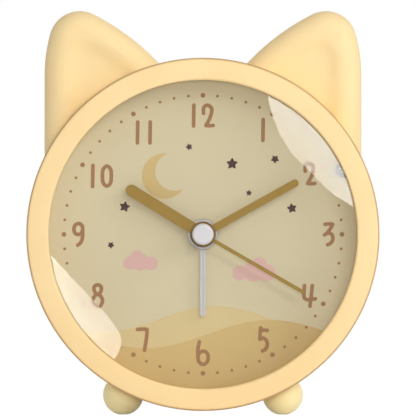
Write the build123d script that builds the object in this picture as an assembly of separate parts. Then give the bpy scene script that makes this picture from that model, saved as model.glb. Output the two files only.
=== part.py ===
from build123d import *
from math import atan2, cos, degrees, radians, sin, sqrt, tan
import os

os.makedirs("parts", exist_ok=True)

# Kids' alarm clock with cat ears and a night light, in millimetres, +Z up.
# It stands on z = 0 with its dial facing -Y, and the origin is under the middle of its box.
# x runs to the right of the dial and z up from the dial's centre, and depth runs backwards
# from the crest of the bezel, so that depth 0 is the front of the clock and 50 is its back.

# Whole clock
depth_overall = 50.0
centre_z = 58.8
drum_radius = 56.5
wall = 2.2
drum_front = 11.0
drum_back = 41.0
drum_back_round = 4.5
parting = 23.0
seam_gap = 0.12
touch = 0.1
running = 0.1
beyond = 1.0  # how far a cutting shape runs past the face that it opens
far = 90.0  # reaches past the whole clock
seam_lip = (1.2, 1.5, 4.0)  # thickness, reach in front of the seam, reach behind it
spigot_groove = (8.4, 9.6, 0.5)  # front, back, how deep

# Bezel, lens and dial
bezel_radius = 57.5
bezel_opening = 50.3
spigot_radius = 55.6
spigot_front = 4.3
spigot_bore = 53.6
bezel_roll = 1.15  # radius of the roll at the outer edge
bezel_tilt = 10.0  # degrees that the crowned face leans where it meets the roll
bezel_fall = 0.37  # depth there
bezel_lip_round = 0.7
bezel_bead = (8.6, 8.9, 9.2, 9.5, 0.4)  # depths along the snap bead, and its height
lens_seat = 2.8
lens_thickness = 1.5
lens_radius = 53.3
lens_crown = 0.2
dial_radius = 53.4
dial_front = 12.6
dial_hole_gap = 1.2
carrier_front = 13.0
carrier_back = 15.0

# Ears: one tangent outline, rounded edges and a shallow dish in the front
ear_side_x = -51.7
ear_foot_z = 15.0
ear_shoulder_z = 52.0
ear_tip_start = (-49.8, 65.6)
ear_tip_end = (-35.7, 71.8)
ear_slope_end = (-15.3, 56.8)
ear_tail = (-6.0, 47.0)
ear_back = 35.0
ear_round = 6.0
dish_inset = 7.4
dish_depth = 1.5
dish_slope = 67.0  # of the dish's wall, in degrees from the ear's depth
dish_tip_round = 6.4
dish_round = 12.0
dish_lip_round = 6.0

# Feet
foot_x = 26.0
foot_radius = 6.6
foot_flat = 0.15
foot_ball_depths = (17.9, 35.9)
foot_neck_radius = 3.5
foot_flange_radius = 5.5
foot_flange_depths = (4.6, 3.2)  # how far in from the drum's outside it starts and ends
foot_hole = (50.0, 58.0)

# Screws: (head radius, head height, shank radius, shank length)
case_screw = (2.7, 2.0, 1.45, 12.0)
small_screw = (2.2, 1.5, 1.05, 3.6)
module_screw = (1.7, 1.2, 0.95, 16.6)
case_screw_places = ((-39.0, 57.5), (39.0, 57.5), (-44.6, -24.8), (44.6, -24.8))
case_screw_seat = 28.5
front_boss_radius = 3.6
rear_boss_radius = 4.3
tab_angles = (45, 135, 225, 315)
tab_radius = 48.6
tab_width = 8.0
tab_thickness = 2.0
lug_places = ((-30.4, -17.0), (30.4, -17.0), (-30.4, 19.0), (30.4, 19.0))

# Hands, as (width, reach, angle clockwise from twelve, hub radius, front, back)
hour_hand_size = (3.8, 29.2, 301.6, 4.25, 8.9, 9.5)
minute_hand_size = (2.5, 35.5, 60.9, 3.5, 7.6, 8.2)
second_hand_size = (1.25, 38.1, 120.0, 3.4, 5.9, 6.4)
alarm_hand_size = (1.6, 26.7, 180.0, 4.9, 10.2, 10.7)
hand_cap_radius = 3.5
hand_cap_front = 4.7
hand_cap_round = 0.95
alarm_hand_groove = (0.8, 0.25)  # width, how deep

# Wheels, as (teeth, module, front, back). Two that mesh stand half their teeth times the module apart.
tooth_addendum = 0.8
tooth_dedendum = 1.05
tooth_tip_share = 0.10
tooth_root_share = 0.27
alarm_gear = (64, 0.5, 17.6, 18.6)
alarm_setting_pinion = (16, 0.5, 17.5, 18.7)
hour_gear = (48, 0.4, 19.0, 20.0)
minute_wheel_pinion = (12, 0.4, 18.95, 21.0)
minute_wheel_gear = (36, 0.5, 21.0, 22.2)
cannon_gear = (12, 0.5, 20.6, 22.6)
time_setting_pinion = (12, 0.5, 21.0, 22.2)
centre_gear = (64, 0.2833333, 23.0, 23.7)
third_pinion = (8, 0.2833333, 22.9, 23.8)
third_gear = (60, 0.3, 25.3, 25.9)
second_pinion = (8, 0.3, 25.2, 26.0)
second_gear = (50, 0.3, 26.5, 27.1)
idler_pinion = (10, 0.3, 26.4, 27.2)
idler_gear = (48, 0.3, 27.7, 28.3)
rotor_pinion = (8, 0.3, 27.6, 28.4)


def centre_distance(gear_size, pinion_size):
    return gear_size[1] * (gear_size[0] + pinion_size[0]) / 2


def placed(distance, angle, start=(0, 0)):
    """Place at this distance and angle, anticlockwise from three o'clock, from a start."""
    return (start[0] + distance * cos(radians(angle)), start[1] + distance * sin(radians(angle)))


# Arbors and tubes: (outer radius, inner radius) for a tube
alarm_tube = (3.8, 3.1)
hour_tube = (3.0, 2.1)
minute_tube = (2.0, 1.1)
cannon_tail = (1.7, 23.9)  # radius, back
second_arbor_radius = 1.0
setting_arbor_radius = 1.5
setting_arbor_pivot = 0.8
setting_arbor_shoulder = 17.4
setting_arbor_back = 46.5
minute_post_radius = 0.75
arbor_radius = 0.6
pivot_radius = 0.4
second_pivot_radius = 0.5
train_depths = (24.2, 25.0, 30.9, 31.9)  # front pivot, front shoulder, rear shoulder, rear pivot
magnet_size = (2.8, 28.7, 30.2)  # radius, front, back

# Places of the arbors
knob_z = 9.0
minute_post = placed(centre_distance(minute_wheel_gear, cannon_gear), 60)
alarm_reach = centre_distance(alarm_gear, alarm_setting_pinion)
time_reach = centre_distance(minute_wheel_gear, time_setting_pinion)
alarm_setting_place = (-sqrt(alarm_reach ** 2 - knob_z ** 2), knob_z)
time_setting_place = (minute_post[0] + sqrt(time_reach ** 2 - (minute_post[1] - knob_z) ** 2), knob_z)
third_place = placed(centre_distance(third_gear, second_pinion), -20)
idler_place = placed(centre_distance(second_gear, idler_pinion), 200)
rotor_place = placed(centre_distance(idler_gear, rotor_pinion), -60, idler_place)

# Movement case
module_half_width = 27.0
module_bottom = -22.6
module_top = 25.0
module_front = 15.2
module_plate = 2.0
module_back = 34.6
module_wall = 1.2
pillar_places = ((-23.4, -19.0), (23.4, -19.0), (-23.4, 21.4), (23.4, 21.4))
pillar_radius = 2.3
middle_plate_depths = (24.1, 24.9)
bridge_depths = (31.0, 32.0)
plate_gap = 0.2
screw_gap = 0.05
coil_z = -17.6
coil_depth = 29.4
coil_window = (16.0, 4.4)  # half width, and how far above the coil it reaches
stator_depths = (29.0, 29.8)
stator_leg = (11.55, 3.9)  # middle from the axis, width
stator_bar = (27.0, 8.4)
stator_holes = (3.2, 1.4)  # around the rotor, around the intermediate arbor
bobbin_radii = (1.6, 2.7, 3.0)  # core, winding, flange
bobbin_half = 9.4
bobbin_flange = 0.8
movement_board_box = ((-20.0, 20.0), (12.4, 22.6), (32.2, 33.0))
movement_chip_box = ((1.0, 5.0), (15.0, 19.0), (33.0, 33.3))
crystal = (1.0, -13.0, -7.0, 19.6, 31.1)  # radius, start, end, height, depth
crystal_window = ((-14.0, -6.0), (18.2, 21.0))
alarm_blade_box = ((-22.0, -3.9), (2.9, 5.3), (20.25, 20.45))
alarm_block_box = ((-24.4, -22.0), (1.5, 6.7), (17.3, 24.0))

# Knobs on the back
knob_radius = 7.6
knob_front = 42.0
knob_stem_radius = 3.4
knob_hole_radius = 3.8
knob_collar = (1.3, 1.5)  # wall of the collar around the hole, how far it reaches inside
knob_flutes = (18, 0.9, 0.45)  # number, radius, how far outside the rim their middles are
knob_rim = 2.4
knob_hollow = 0.5

# Light button on top
button_depth = 29.6
button_size = (20.0, 9.0)
button_proud = 0.8
button_travel = 0.9
button_flange = (23.5, 12.4)
button_gap = 0.25
button_flange_top = drum_radius - wall - 1.3
button_flange_thickness = 1.2
button_stem_radius = 1.9
button_spring_size = (5.2, 0.3, 3.5)  # coil radius, wire radius, turns
board_top_z = 45.6
board_thickness = 1.2
board_half_width = 15.0
board_depths = (23.6, 36.6)
switch_height = 3.6
switch_plunger = (1.6, 0.6)  # radius, how far it stands up
shelf_x = (10.6, 13.4, 14.8)
choke = (-11.0, 2.4, 1.5, 3.6, 0.8)  # x, flange radius, core radius, height, flange thickness
board_chip_box = ((8.2, 12.4), (26.0, 31.0), 1.4)
resistor_size = (1.2, 0.6, (33.4, 35.6))
resistor_places = (8.4, 10.6)

# Alarm slide switch on the back
slider_place = (-37.6, -2.0)
slider_travel = 4.0
slider_size = (3.0, 4.0)
slider_proud = 1.8
slider_slot_gap = 0.3
slider_shoe = (2.6, 3.2, 0.2, 1.5)  # half width, half height, and its depths in from the wall
slider_ribs = (0.4, 0.4)  # width and depth of the grooves in the thumb piece
switch_case = (3.1, 6.5, 1.6, 5.2)  # half width, half height, and its depths in from the wall
switch_pins = (0.4, 2.4, (-2.5, 0.0, 2.5))  # radius, length, places
guide_rail = (3.2, 4.4, 7.0, 4.0)  # inner and outer x from the slide, half height, reach inside

# Night light
led_radius = 2.5
led_orbit = 50.15
led_angle = 65.3
led_tip = 7.8
led_place = placed(led_orbit, 90 - led_angle)
led_hole_gap = 0.1
led_flange = (0.4, 1.2)  # how far it stands out, thickness
led_leg = (0.25, 1.27, 3.4)  # radius, distance from the middle, reach behind the carrier
led_board_depths = (1.8, 2.8)  # behind the carrier
led_board_size = (9.4, 10.0, 1.0)
led_board_shift = -1.6
led_post = (0.8, 4.6, 4.6)  # radius, how far inside the lamp's circle, angle to each side

# Battery bay: one AA cell lying across the clock
cell_radius = 7.2
cell_length = 49.2
cell_nub = (2.7, 1.2)
bay_half_width = 28.0
bay_z = (-40.9, -25.3)
bay_front = 23.8
bay_wall = 1.2
door_half_width = 27.6
door_gap = 0.4
door_hinge_z = -40.6
door_top_z = -24.6
door_thickness = 2.0
door_pintle_radius = 0.7
door_pintle_length = 2.0
door_tongue = (4.0, 1.0, 0.2, 4.0)  # half width, its two faces below the bay's top, length
door_catch = (0.15, 1.2)  # how far it stands above the bay's top, thickness
door_notch = (5.0, 1.2)  # radius, how deep
latch_groove_size = (4.3, 0.9, 4.4)  # half width, height, length
grip_lines = (3, 9.0, 1.5, 1.6, 0.7, 0.4)  # number, length, step in length, spacing, width, depth

contact_depth = bay_front + cell_radius + 0.2
contact_z = sum(bay_z) / 2
contact_thickness = 0.4
contact_half = 5.0
contact_tag = (1.5, 2.6)  # half width, reach above the bay
contact_pip = (3.0, 1.2)
contact_spring = (4.0, 0.3, 2.5, -15.0)  # coil radius, wire radius, turns, cone angle
tag_slot_size = (2.4, 3.0, 0.1)
wire_radius = 0.5
wire_arc_share = 0.45
wire_holes = ((-22.0, -12.0), (22.0, -12.0), (0.0, 18.7), (-19.6, 19.8), (19.6, 19.8))
wire_hole_radius = 2.1
buzzer_place = (0.0, -9.6)
buzzer_radius = 11.4
buzzer_height = 3.2
buzzer_ring_size = (1.3, 1.8)
buzzer_hollow = (0.8, 1.2, 2.0, 1.8)  # rim wall, depth of the mouth, radius and depth of the port
sound_slot_rows = (-6, -3, 0, 3, 6)
sound_slot_width = 1.3
sound_circle = 8.6


def at(depth):
    """Plane facing the front at this depth, with x to the right and y up from the dial's centre."""
    origin = (0, depth - depth_overall / 2, centre_z)
    return Plane(origin=origin, x_dir=(1, 0, 0), z_dir=(0, -1, 0))


def slab(sketch, front, back):
    """A flat outline made solid from one depth to another."""
    return extrude(at(back) * sketch, back - front)


def rod(radius, front, back, place=(0, 0)):
    return slab(Pos(*place) * Circle(radius), front, back)


def tube(outer, inner, front, back, place=(0, 0)):
    return slab(Pos(*place) * (Circle(outer) - Circle(inner)), front, back)


def block(x_range, z_range, depths):
    width = x_range[1] - x_range[0]
    height = z_range[1] - z_range[0]
    middle = Pos(sum(x_range) / 2, sum(z_range) / 2)
    return slab(middle * Rectangle(width, height), *depths)


def spin(*edges):
    """A solid turned about the dial's axis from a closed profile drawn as (radius, depth)."""
    section = Plane(origin=(0, -depth_overall / 2, centre_z), x_dir=(1, 0, 0), z_dir=(0, 0, 1))
    return revolve(section * make_face(edges), Axis((0, 0, centre_z), (0, 1, 0)))


def both_sides(shape):
    return shape + mirror(shape, Plane.YZ)


# Case

def ear_outline(inset=0.0):
    side = Line((ear_side_x, ear_foot_z), (ear_side_x, ear_shoulder_z))
    shoulder = TangentArc(side @ 1, ear_tip_start, tangent=side % 1)
    tip = TangentArc(shoulder @ 1, ear_tip_end, tangent=shoulder % 1)
    slope = TangentArc(tip @ 1, ear_slope_end, tangent=tip % 1)
    closing = Polyline(slope @ 1, ear_tail, (ear_tail[0], ear_foot_z), side @ 0)
    outline = make_face([side, shoulder, tip, slope, closing])
    return offset(outline, amount=-inset, kind=Kind.INTERSECTION) if inset else outline


def ear_block(inset, front, back, edge_round):
    """One ear as a flat block with its front and back edges rounded over."""
    body = slab(ear_outline(inset), front, back)
    faces = [body.faces().sort_by(Axis.Y)[0], body.faces().sort_by(Axis.Y)[-1]]
    rims = ShapeList(faces[0].edges() + faces[1].edges())
    high = rims.filter_by(lambda e: e.center().Z > centre_z + ear_foot_z + inset + beyond)
    return fillet(high.filter_by(lambda e: e.center().X < ear_tail[0] - inset - beyond / 2), edge_round)


def ear_dish(cover):
    """The body that hollows an ear's front, grown by a cover: a sloping wall, rounded into its flat floor."""
    depth = dish_depth + cover
    slope = radians(dish_slope)
    core = ear_outline(dish_inset + dish_tip_round)
    floor_outline = offset(core, amount=dish_tip_round + cover / cos(slope) - depth * tan(slope), kind=Kind.ARC)
    body = extrude(at(drum_front + depth) * floor_outline, depth + beyond, taper=-dish_slope)
    floor = body.faces().sort_by(Axis.Y)[-1]
    return fillet(floor.edges(), dish_round + cover)


def ear_outside():
    ear = ear_block(0.0, drum_front, ear_back, ear_round) - ear_dish(0.0)
    front_face = ear.faces().filter_by(Axis.Y).sort_by(Axis.Y)[0]
    return fillet(front_face.inner_wires()[0].edges(), dish_lip_round)


def ear_inside():
    """Hollow of an ear: it keeps an even wall behind the dish."""
    hollow = ear_block(wall, drum_front + wall, ear_back - wall, ear_round - wall) - ear_dish(wall)
    return hollow - tube(drum_radius, drum_radius - wall, drum_front, carrier_back + 3)


def drum_outside():
    side = Line((drum_radius, drum_front), (drum_radius, drum_back - drum_back_round))
    corner = TangentArc(side @ 1, (drum_radius - drum_back_round, drum_back), tangent=side % 1)
    rest = Polyline(corner @ 1, (0, drum_back), (0, drum_front), side @ 0)
    return spin(side, corner, rest)


def drum_inside():
    radius = drum_radius - wall
    corner_round = drum_back_round - wall
    side = Line((radius, carrier_back), (radius, drum_back - wall - corner_round))
    corner = TangentArc(side @ 1, (radius - corner_round, drum_back - wall), tangent=side % 1)
    rest = Polyline(corner @ 1, (0, drum_back - wall), (0, carrier_back), side @ 0)
    return spin(side, corner, rest)


def case_solid():
    hollow = drum_inside() + both_sides(ear_inside()) + rod(spigot_bore, spigot_front, carrier_back)
    outside = drum_outside() + both_sides(ear_outside()) + rod(spigot_radius, spigot_front, drum_front)
    return outside - hollow


def foot_cut():
    """Hole that a foot's neck passes through, half in each shell."""
    return both_sides(foot_post(foot_neck_radius, *foot_hole))


def foot_post(radius, inner, outer):
    """Round post along the radius that leads to a foot, between two distances from the axis."""
    direction = Vector(foot_x, 0, foot_radius - centre_z).normalized()
    start = Vector(0, parting - depth_overall / 2, centre_z) + direction * inner
    return extrude(Plane(origin=start, z_dir=direction) * Circle(radius), outer - inner)


def case_halves(whole):
    front = whole & block((-far, far), (-far, far), (0, parting - seam_gap))
    back = whole & block((-far, far), (-far, far), (parting, drum_back + beyond))
    return front, back


def front_shell(front_half):
    shell = front_half
    for angle in tab_angles:
        shell += tab(angle)
    for place in case_screw_places[:2]:
        shell += rod(front_boss_radius, drum_front + dish_depth + beyond, parting, place)
    for place in case_screw_places[2:]:
        shell += rod(front_boss_radius, carrier_back + plate_gap, parting, place)
    for place in case_screw_places:
        shell -= rod(case_screw[2], case_screw_seat - case_screw[3], parting, place)
    groove = tube(spigot_radius, spigot_radius - spigot_groove[2], *spigot_groove[:2])
    return shell - groove - foot_cut()


def tab(angle):
    """A tab on the inside of the drum that holds the dial carrier from behind."""
    inner = tab_radius - tab_width / 2
    outer = drum_radius - beyond
    outline = Pos((inner + outer) / 2, 0) * Rectangle(outer - inner, tab_width)
    outline -= Pos(tab_radius, 0) * Circle(small_screw[2] + touch)
    return slab(Rot(0, 0, angle) * outline, carrier_back, carrier_back + tab_thickness)


def rear_shell(back_half):
    shell = back_half + parting_lip() + battery_bay() + board_shelves() + buzzer_ring() + switch_guides()
    for place in case_screw_places[:2]:
        shell += rod(rear_boss_radius, parting, ear_back - beyond, place)
    for place in case_screw_places[2:]:
        shell += rod(rear_boss_radius, parting, drum_back - beyond, place)
    for place in case_screw_places:
        shell -= rod(case_screw[0] + 3 * touch, case_screw_seat, drum_back + beyond, place)
        shell -= rod(case_screw[2] + 2 * touch, parting, case_screw_seat, place)
    for place in (time_setting_place, alarm_setting_place):
        collar_front = drum_back - wall - knob_collar[1]
        shell += tube(knob_hole_radius + knob_collar[0], knob_hole_radius, collar_front, drum_back, place)
        shell -= rod(knob_hole_radius, collar_front - beyond, drum_back + beyond, place)
    shell = shell - button_opening() - battery_opening() - slider_slot() - foot_cut()
    for slot in sound_slots():
        shell -= slot
    return shell


def parting_lip():
    """Thin wall inside the seam that locates the two shells on each other."""
    thickness, ahead, behind = seam_lip
    radius = drum_radius - wall
    lip = tube(radius, radius - thickness, parting, parting + behind)
    lip += tube(radius - touch, radius - thickness, parting - ahead, parting)
    low = block((-far, far), (-far, -drum_radius / 2), (0, drum_back))
    return (lip & low) - both_sides(foot_post(foot_flange_radius + 6 * touch, *foot_hole))


def button_outline(size, grow=0.0):
    return RectangleRounded(size[0] + 2 * grow, size[1] + 2 * grow, min(size) / 2 - 4 * touch + grow)


def upright(sketch, z_range):
    """A horizontal outline under the light button made solid from one height to another."""
    origin = (0, button_depth - depth_overall / 2, centre_z + z_range[0])
    return extrude(Plane(origin=origin, x_dir=(1, 0, 0), z_dir=(0, 0, 1)) * sketch, z_range[1] - z_range[0])


def button_opening():
    return upright(button_outline(button_size, button_gap), foot_hole)


def board_shelves():
    inner, stop, outer = shelf_x
    under = board_top_z - board_thickness
    shelf = block((inner, outer), (under - 2 * beyond, under), (board_depths[0] + 2 * beyond, drum_back - beyond))
    clip = block((stop, outer), (under, board_top_z + beyond), (board_depths[1] + touch, drum_back - beyond))
    return both_sides(shelf + clip)


def buzzer_ring():
    thickness, height = buzzer_ring_size
    inside = drum_back - wall
    return tube(buzzer_radius + thickness, buzzer_radius + touch, inside - height, inside, buzzer_place)


def sound_slots():
    slots = []
    for row in sound_slot_rows:
        length = 2 * sqrt(sound_circle ** 2 - row ** 2)
        outline = Pos(buzzer_place[0], buzzer_place[1] + row) * SlotOverall(length, sound_slot_width)
        slots.append(slab(outline, drum_back - wall - beyond, drum_back + beyond))
    return slots


def switch_guides():
    x, z = slider_place
    inner, outer, half_height, reach = guide_rail
    depths = (drum_back - wall - reach, drum_back - wall)
    rail = block((x + inner, x + outer), (z - half_height, z + half_height), depths)
    return rail + block((x - outer, x - inner), (z - half_height, z + half_height), depths)


def slider_slot():
    height = slider_size[1] + slider_travel + 2 * slider_slot_gap
    outline = Pos(*slider_place) * Rectangle(slider_size[0] + 2 * slider_slot_gap, height)
    return slab(outline, drum_back - wall - beyond, drum_back + beyond)


# Battery bay and door

def battery_bay():
    """Box behind the door that holds the cell, closed at the front."""
    walls = block((-bay_half_width - bay_wall, bay_half_width + bay_wall),
                  (bay_z[0] - bay_wall, bay_z[1] + bay_wall), (bay_front - bay_wall, drum_back - beyond))
    return walls - block((-bay_half_width, bay_half_width), bay_z, (bay_front, drum_back))


def battery_opening():
    """Doorway in the back: an open round seat for the hinge edge, and holes for its two pintles."""
    half_width = door_half_width + door_gap
    inside = drum_back - door_thickness
    doorway = block((-half_width, half_width), (door_hinge_z, door_top_z + door_gap),
                    (inside - 2 * touch, drum_back + beyond))
    bay = block((-bay_half_width, bay_half_width), bay_z, (bay_front, inside))
    seat_radius = door_thickness / 2 + door_gap
    seat = hinge_rod(seat_radius, half_width)
    seat_mouth = block((-half_width, half_width), (door_hinge_z - seat_radius, door_hinge_z),
                       (drum_back - door_thickness / 2, drum_back + beyond))
    pintles = hinge_rod(door_pintle_radius + running, door_half_width + door_pintle_length + door_gap)
    notch_radius, notch_depth = door_notch
    notch = slab(Pos(0, door_top_z + door_gap) * Circle(notch_radius), drum_back - notch_depth, drum_back + beyond)
    groove_half, groove_height, groove_length = latch_groove_size
    latch_groove = block((-groove_half, groove_half), (bay_z[1], bay_z[1] + groove_height),
                         (inside - groove_length, inside))
    slot_width, slot_height, slot_gap = tag_slot_size
    half_depth = contact_tag[0] + slot_gap
    tag_slot = block((bay_half_width - slot_width, bay_half_width), (bay_z[1] - slot_gap, bay_z[1] + slot_height),
                     (contact_depth - half_depth, contact_depth + half_depth))
    return doorway + bay + seat + seat_mouth + pintles + notch + latch_groove + both_sides(tag_slot)


def hinge_rod(radius, half_length):
    """Round bar along the door's hinge line."""
    return lying_rod(radius, -half_length, half_length, door_hinge_z, drum_back - door_thickness / 2)


def battery_door():
    """Lid with a round hinge edge, two pintles, and a springy tongue with a catch at its top."""
    inside = drum_back - door_thickness
    leaf = block((-door_half_width, door_half_width), (door_hinge_z, door_top_z), (inside, drum_back))
    leaf += hinge_rod(door_thickness / 2, door_half_width)
    leaf += hinge_rod(door_pintle_radius, door_half_width + door_pintle_length)
    half_width, low, high, length = door_tongue
    leaf += block((-half_width, half_width), (bay_z[1] - low, bay_z[1] - high), (inside - length, inside))
    catch_height, catch_thickness = door_catch
    leaf += block((-half_width, half_width), (bay_z[1] - high, bay_z[1] + catch_height),
                  (inside - length, inside - length + catch_thickness))
    count, width, shorter, spacing, line, depth = grip_lines
    for row in range(count):
        outline = Pos(0, door_top_z - 3 - row * spacing) * SlotOverall(width - row * shorter, line)
        leaf -= slab(outline, drum_back - depth, drum_back)
    return leaf


def battery():
    half = cell_length / 2
    can = lying_rod(cell_radius, -half, half, contact_z, contact_depth)
    return can + lying_rod(cell_nub[0], half, half + cell_nub[1], contact_z, contact_depth)


def lying_rod(radius, x_start, x_end, z, depth):
    """Round bar along x at this height and depth."""
    origin = (x_start, depth - depth_overall / 2, centre_z + z)
    return extrude(Plane(origin=origin, x_dir=(0, 1, 0), z_dir=(1, 0, 0)) * Circle(radius), x_end - x_start)


def contact_plate():
    """Flat contact at the right end of the bay, with a solder tag through the bay's top."""
    x_range = (bay_half_width - contact_thickness, bay_half_width)
    plate = block(x_range, (contact_z - contact_half, contact_z + contact_half),
                  (contact_depth - contact_half, contact_depth + contact_half))
    half_width, reach = contact_tag
    return plate + block(x_range, (contact_z + contact_half, bay_z[1] + reach),
                         (contact_depth - half_width, contact_depth + half_width))


def battery_plate_contact():
    start = bay_half_width - contact_thickness
    radius, height = contact_pip
    return contact_plate() + lying_rod(radius, start - height, start, contact_z, contact_depth)


def battery_spring_contact():
    """Conical spring on a plate that presses on the flat end of the cell."""
    coil_radius, thickness, turns, cone = contact_spring
    start = -bay_half_width + contact_thickness
    height = -cell_length / 2 - start - 2 * thickness
    origin = (start + 0.8 * thickness, contact_depth - depth_overall / 2, centre_z + contact_z)
    path = Helix(pitch=height / turns, height=height, radius=coil_radius, cone_angle=cone)
    coil = sweep(Plane(origin=path @ 0, z_dir=path % 0) * Circle(thickness), path)
    return mirror(contact_plate(), Plane.YZ) + Plane(origin=origin, x_dir=(0, 1, 0), z_dir=(1, 0, 0)) * coil


# Bezel, lens, dial and carrier

def bezel():
    """Snap ring: a thick rolled front, a thin skirt, and a bead inside the skirt."""
    tilt = radians(bezel_tilt)
    meet = bezel_radius - bezel_roll * (1 - sin(tilt))
    crest = meet - bezel_fall / tan(tilt / 2)
    outside = Line((bezel_radius, drum_front), (bezel_radius, bezel_fall + bezel_roll * cos(tilt)))
    roll = TangentArc(outside @ 1, (meet, bezel_fall), tangent=(0, -1))
    crown = TangentArc(roll @ 1, (crest, 0), tangent=roll % 1)
    face = Line(crown @ 1, (bezel_opening + bezel_lip_round, 0))
    inner_roll = TangentArc(face @ 1, (bezel_opening, bezel_lip_round), tangent=(-1, 0))
    skirt = spigot_radius + touch
    ramp = 1.6
    bead = skirt - bezel_bead[4]
    bore = Polyline(inner_roll @ 1, (bezel_opening, lens_seat), (skirt - ramp, lens_seat), (skirt, lens_seat + ramp),
                    (skirt, bezel_bead[0]), (bead, bezel_bead[1]), (bead, bezel_bead[2]), (skirt, bezel_bead[3]),
                    (skirt, drum_front), outside @ 0)
    return spin(outside, roll, crown, face, inner_roll, bore)


def lens():
    """Domed clear window with a flat rim under the bezel's lip."""
    edge = bezel_opening - 2 * touch
    rise = lens_seat - lens_crown
    bow = (edge ** 2 + rise ** 2) / (2 * rise)
    half_way = lens_crown + bow - sqrt(bow ** 2 - (edge / 2) ** 2)
    front = ThreePointArc((0, lens_crown), (edge / 2, half_way), (edge, lens_seat))
    back = ThreePointArc((edge, lens_seat + lens_thickness), (edge / 2, half_way + lens_thickness),
                         (0, lens_crown + lens_thickness))
    rim = Polyline(front @ 1, (lens_radius, lens_seat), (lens_radius, lens_seat + lens_thickness), back @ 0)
    return spin(front, rim, back, Line(back @ 1, front @ 0))


def dial():
    sheet = tube(dial_radius, alarm_tube[0] + dial_hole_gap, dial_front, carrier_front)
    return sheet - rod(led_radius + led_hole_gap, dial_front - beyond, carrier_front + beyond, led_place)


def dial_carrier():
    """Plate that the dial is glued to; the movement hangs on its back."""
    plate = tube(dial_radius, alarm_tube[0] + dial_hole_gap, carrier_front, carrier_back)
    plate -= rod(led_radius + led_hole_gap, carrier_front - beyond, carrier_back + beyond, led_place)
    screw_places = [placed(tab_radius, angle) for angle in tab_angles] + list(lug_places)
    for place in screw_places:
        plate -= rod(small_screw[2], carrier_front + 4 * touch, carrier_back + beyond, place)
    for place in led_post_places():
        plate += rod(led_post[0], carrier_back, carrier_back + led_leg[2], place)
    return plate


def led_post_places():
    orbit = led_orbit - led_post[1]
    turn = 90 - led_angle
    return [placed(orbit, turn - led_post[2]), placed(orbit, turn + led_post[2])]


def screw(size, seat, place):
    """Pan head screw driven from behind; the seat is the depth that its head bears on."""
    head_radius, head_height, shank_radius, length = size
    body = rod(shank_radius, seat - length, seat, place) + rod(head_radius, seat, seat + head_height, place)
    top = body.faces().sort_by(Axis.Y)[-1]
    body = fillet(top.edges(), head_height * 0.35)
    slot = Pos(*place) * (Rectangle(head_radius * 1.2, 0.5) + Rectangle(0.5, head_radius * 1.2))
    return body - slab(slot, seat + head_height * 0.45, seat + head_height + beyond)


def case_screws():
    return Compound(children=[screw(case_screw, case_screw_seat, place) for place in case_screw_places])


def small_screws():
    tabs = [screw(small_screw, carrier_back + tab_thickness, placed(tab_radius, angle)) for angle in tab_angles]
    lugs = [screw(small_screw, module_front + module_plate - plate_gap, place) for place in lug_places]
    return Compound(children=tabs + lugs)


def module_screws():
    seat = module_back - module_wall
    return Compound(children=[screw(module_screw, seat, place) for place in pillar_places])


# Feet and button

def foot():
    """Long round foot: its flanged neck is trapped between the two shells."""
    first, last = [depth - depth_overall / 2 for depth in foot_ball_depths]
    middle_z = foot_radius - foot_flat
    plane = Plane(origin=(foot_x, first, middle_z), x_dir=(1, 0, 0), z_dir=(0, 1, 0))
    body = extrude(plane * Circle(foot_radius), last - first)
    body += Pos(foot_x, first, middle_z) * Sphere(foot_radius)
    body += Pos(foot_x, last, middle_z) * Sphere(foot_radius)
    body -= rod(drum_radius, 0, drum_back)
    body -= Pos(foot_x, 0, -far / 2) * Box(far, far, far)
    flange_start, flange_end = [drum_radius - step for step in foot_flange_depths]
    neck = foot_post(foot_neck_radius, flange_end - touch, drum_radius + beyond / 2)
    return body + neck + foot_post(foot_flange_radius, flange_start, flange_end)


def light_button():
    """Bar on top of the drum with a curved crown, a flange under the wall and a stem."""
    crown = drum_radius + button_proud
    cap = upright(button_outline(button_size), (button_flange_top - 3 * touch, crown))
    cap &= rod(crown, 0, drum_back)
    top_edges = cap.faces().sort_by(Axis.Z)[-1].edges()
    cap = fillet(top_edges, 0.6)
    flange = upright(button_outline(button_flange), (button_flange_top - button_flange_thickness, button_flange_top))
    stem_bottom = board_top_z + switch_height + button_travel + 1.5 * touch
    stem = upright(Circle(button_stem_radius), (stem_bottom, button_flange_top - beyond))
    return cap + flange + stem


def button_spring():
    """Open coil between the board and the button's flange."""
    coil_radius, thickness, turns = button_spring_size
    height = button_flange_top - button_flange_thickness - board_top_z - 2 * thickness
    path = Helix(pitch=height / turns, height=height, radius=coil_radius)
    coil = sweep(Plane(origin=path @ 0, z_dir=path % 0) * Circle(thickness - touch / 5), path)
    return Pos(0, button_depth - depth_overall / 2, centre_z + board_top_z + thickness) * coil


def control_board():
    """Small board under the light button, with the step-up parts that feed the lamp."""
    board = block((-board_half_width, board_half_width), (board_top_z - board_thickness, board_top_z), board_depths)
    chip_x, chip_depths, chip_height = board_chip_box
    board += block(chip_x, (board_top_z, board_top_z + chip_height), chip_depths)
    width, height, depths = resistor_size
    for x in resistor_places:
        board += block((x, x + width), (board_top_z, board_top_z + height), depths)
    return board


def step_up_coil():
    """Drum choke on the control board."""
    x, flange_radius, core_radius, height, thickness = choke
    plane = Plane(origin=(x, button_depth - depth_overall / 2, centre_z + board_top_z), z_dir=(0, 0, 1))
    core = extrude(plane * Circle(flange_radius), thickness) + extrude(plane * Circle(core_radius), height)
    return core + extrude(plane.offset(height - thickness) * Circle(flange_radius), thickness)


def light_switch():
    """Tact switch that the button's stem presses."""
    radius, height = switch_plunger
    body = upright(Rectangle(6, 6), (board_top_z, board_top_z + switch_height - height))
    return body + upright(Circle(radius), (board_top_z, board_top_z + switch_height))


# Night light

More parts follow.
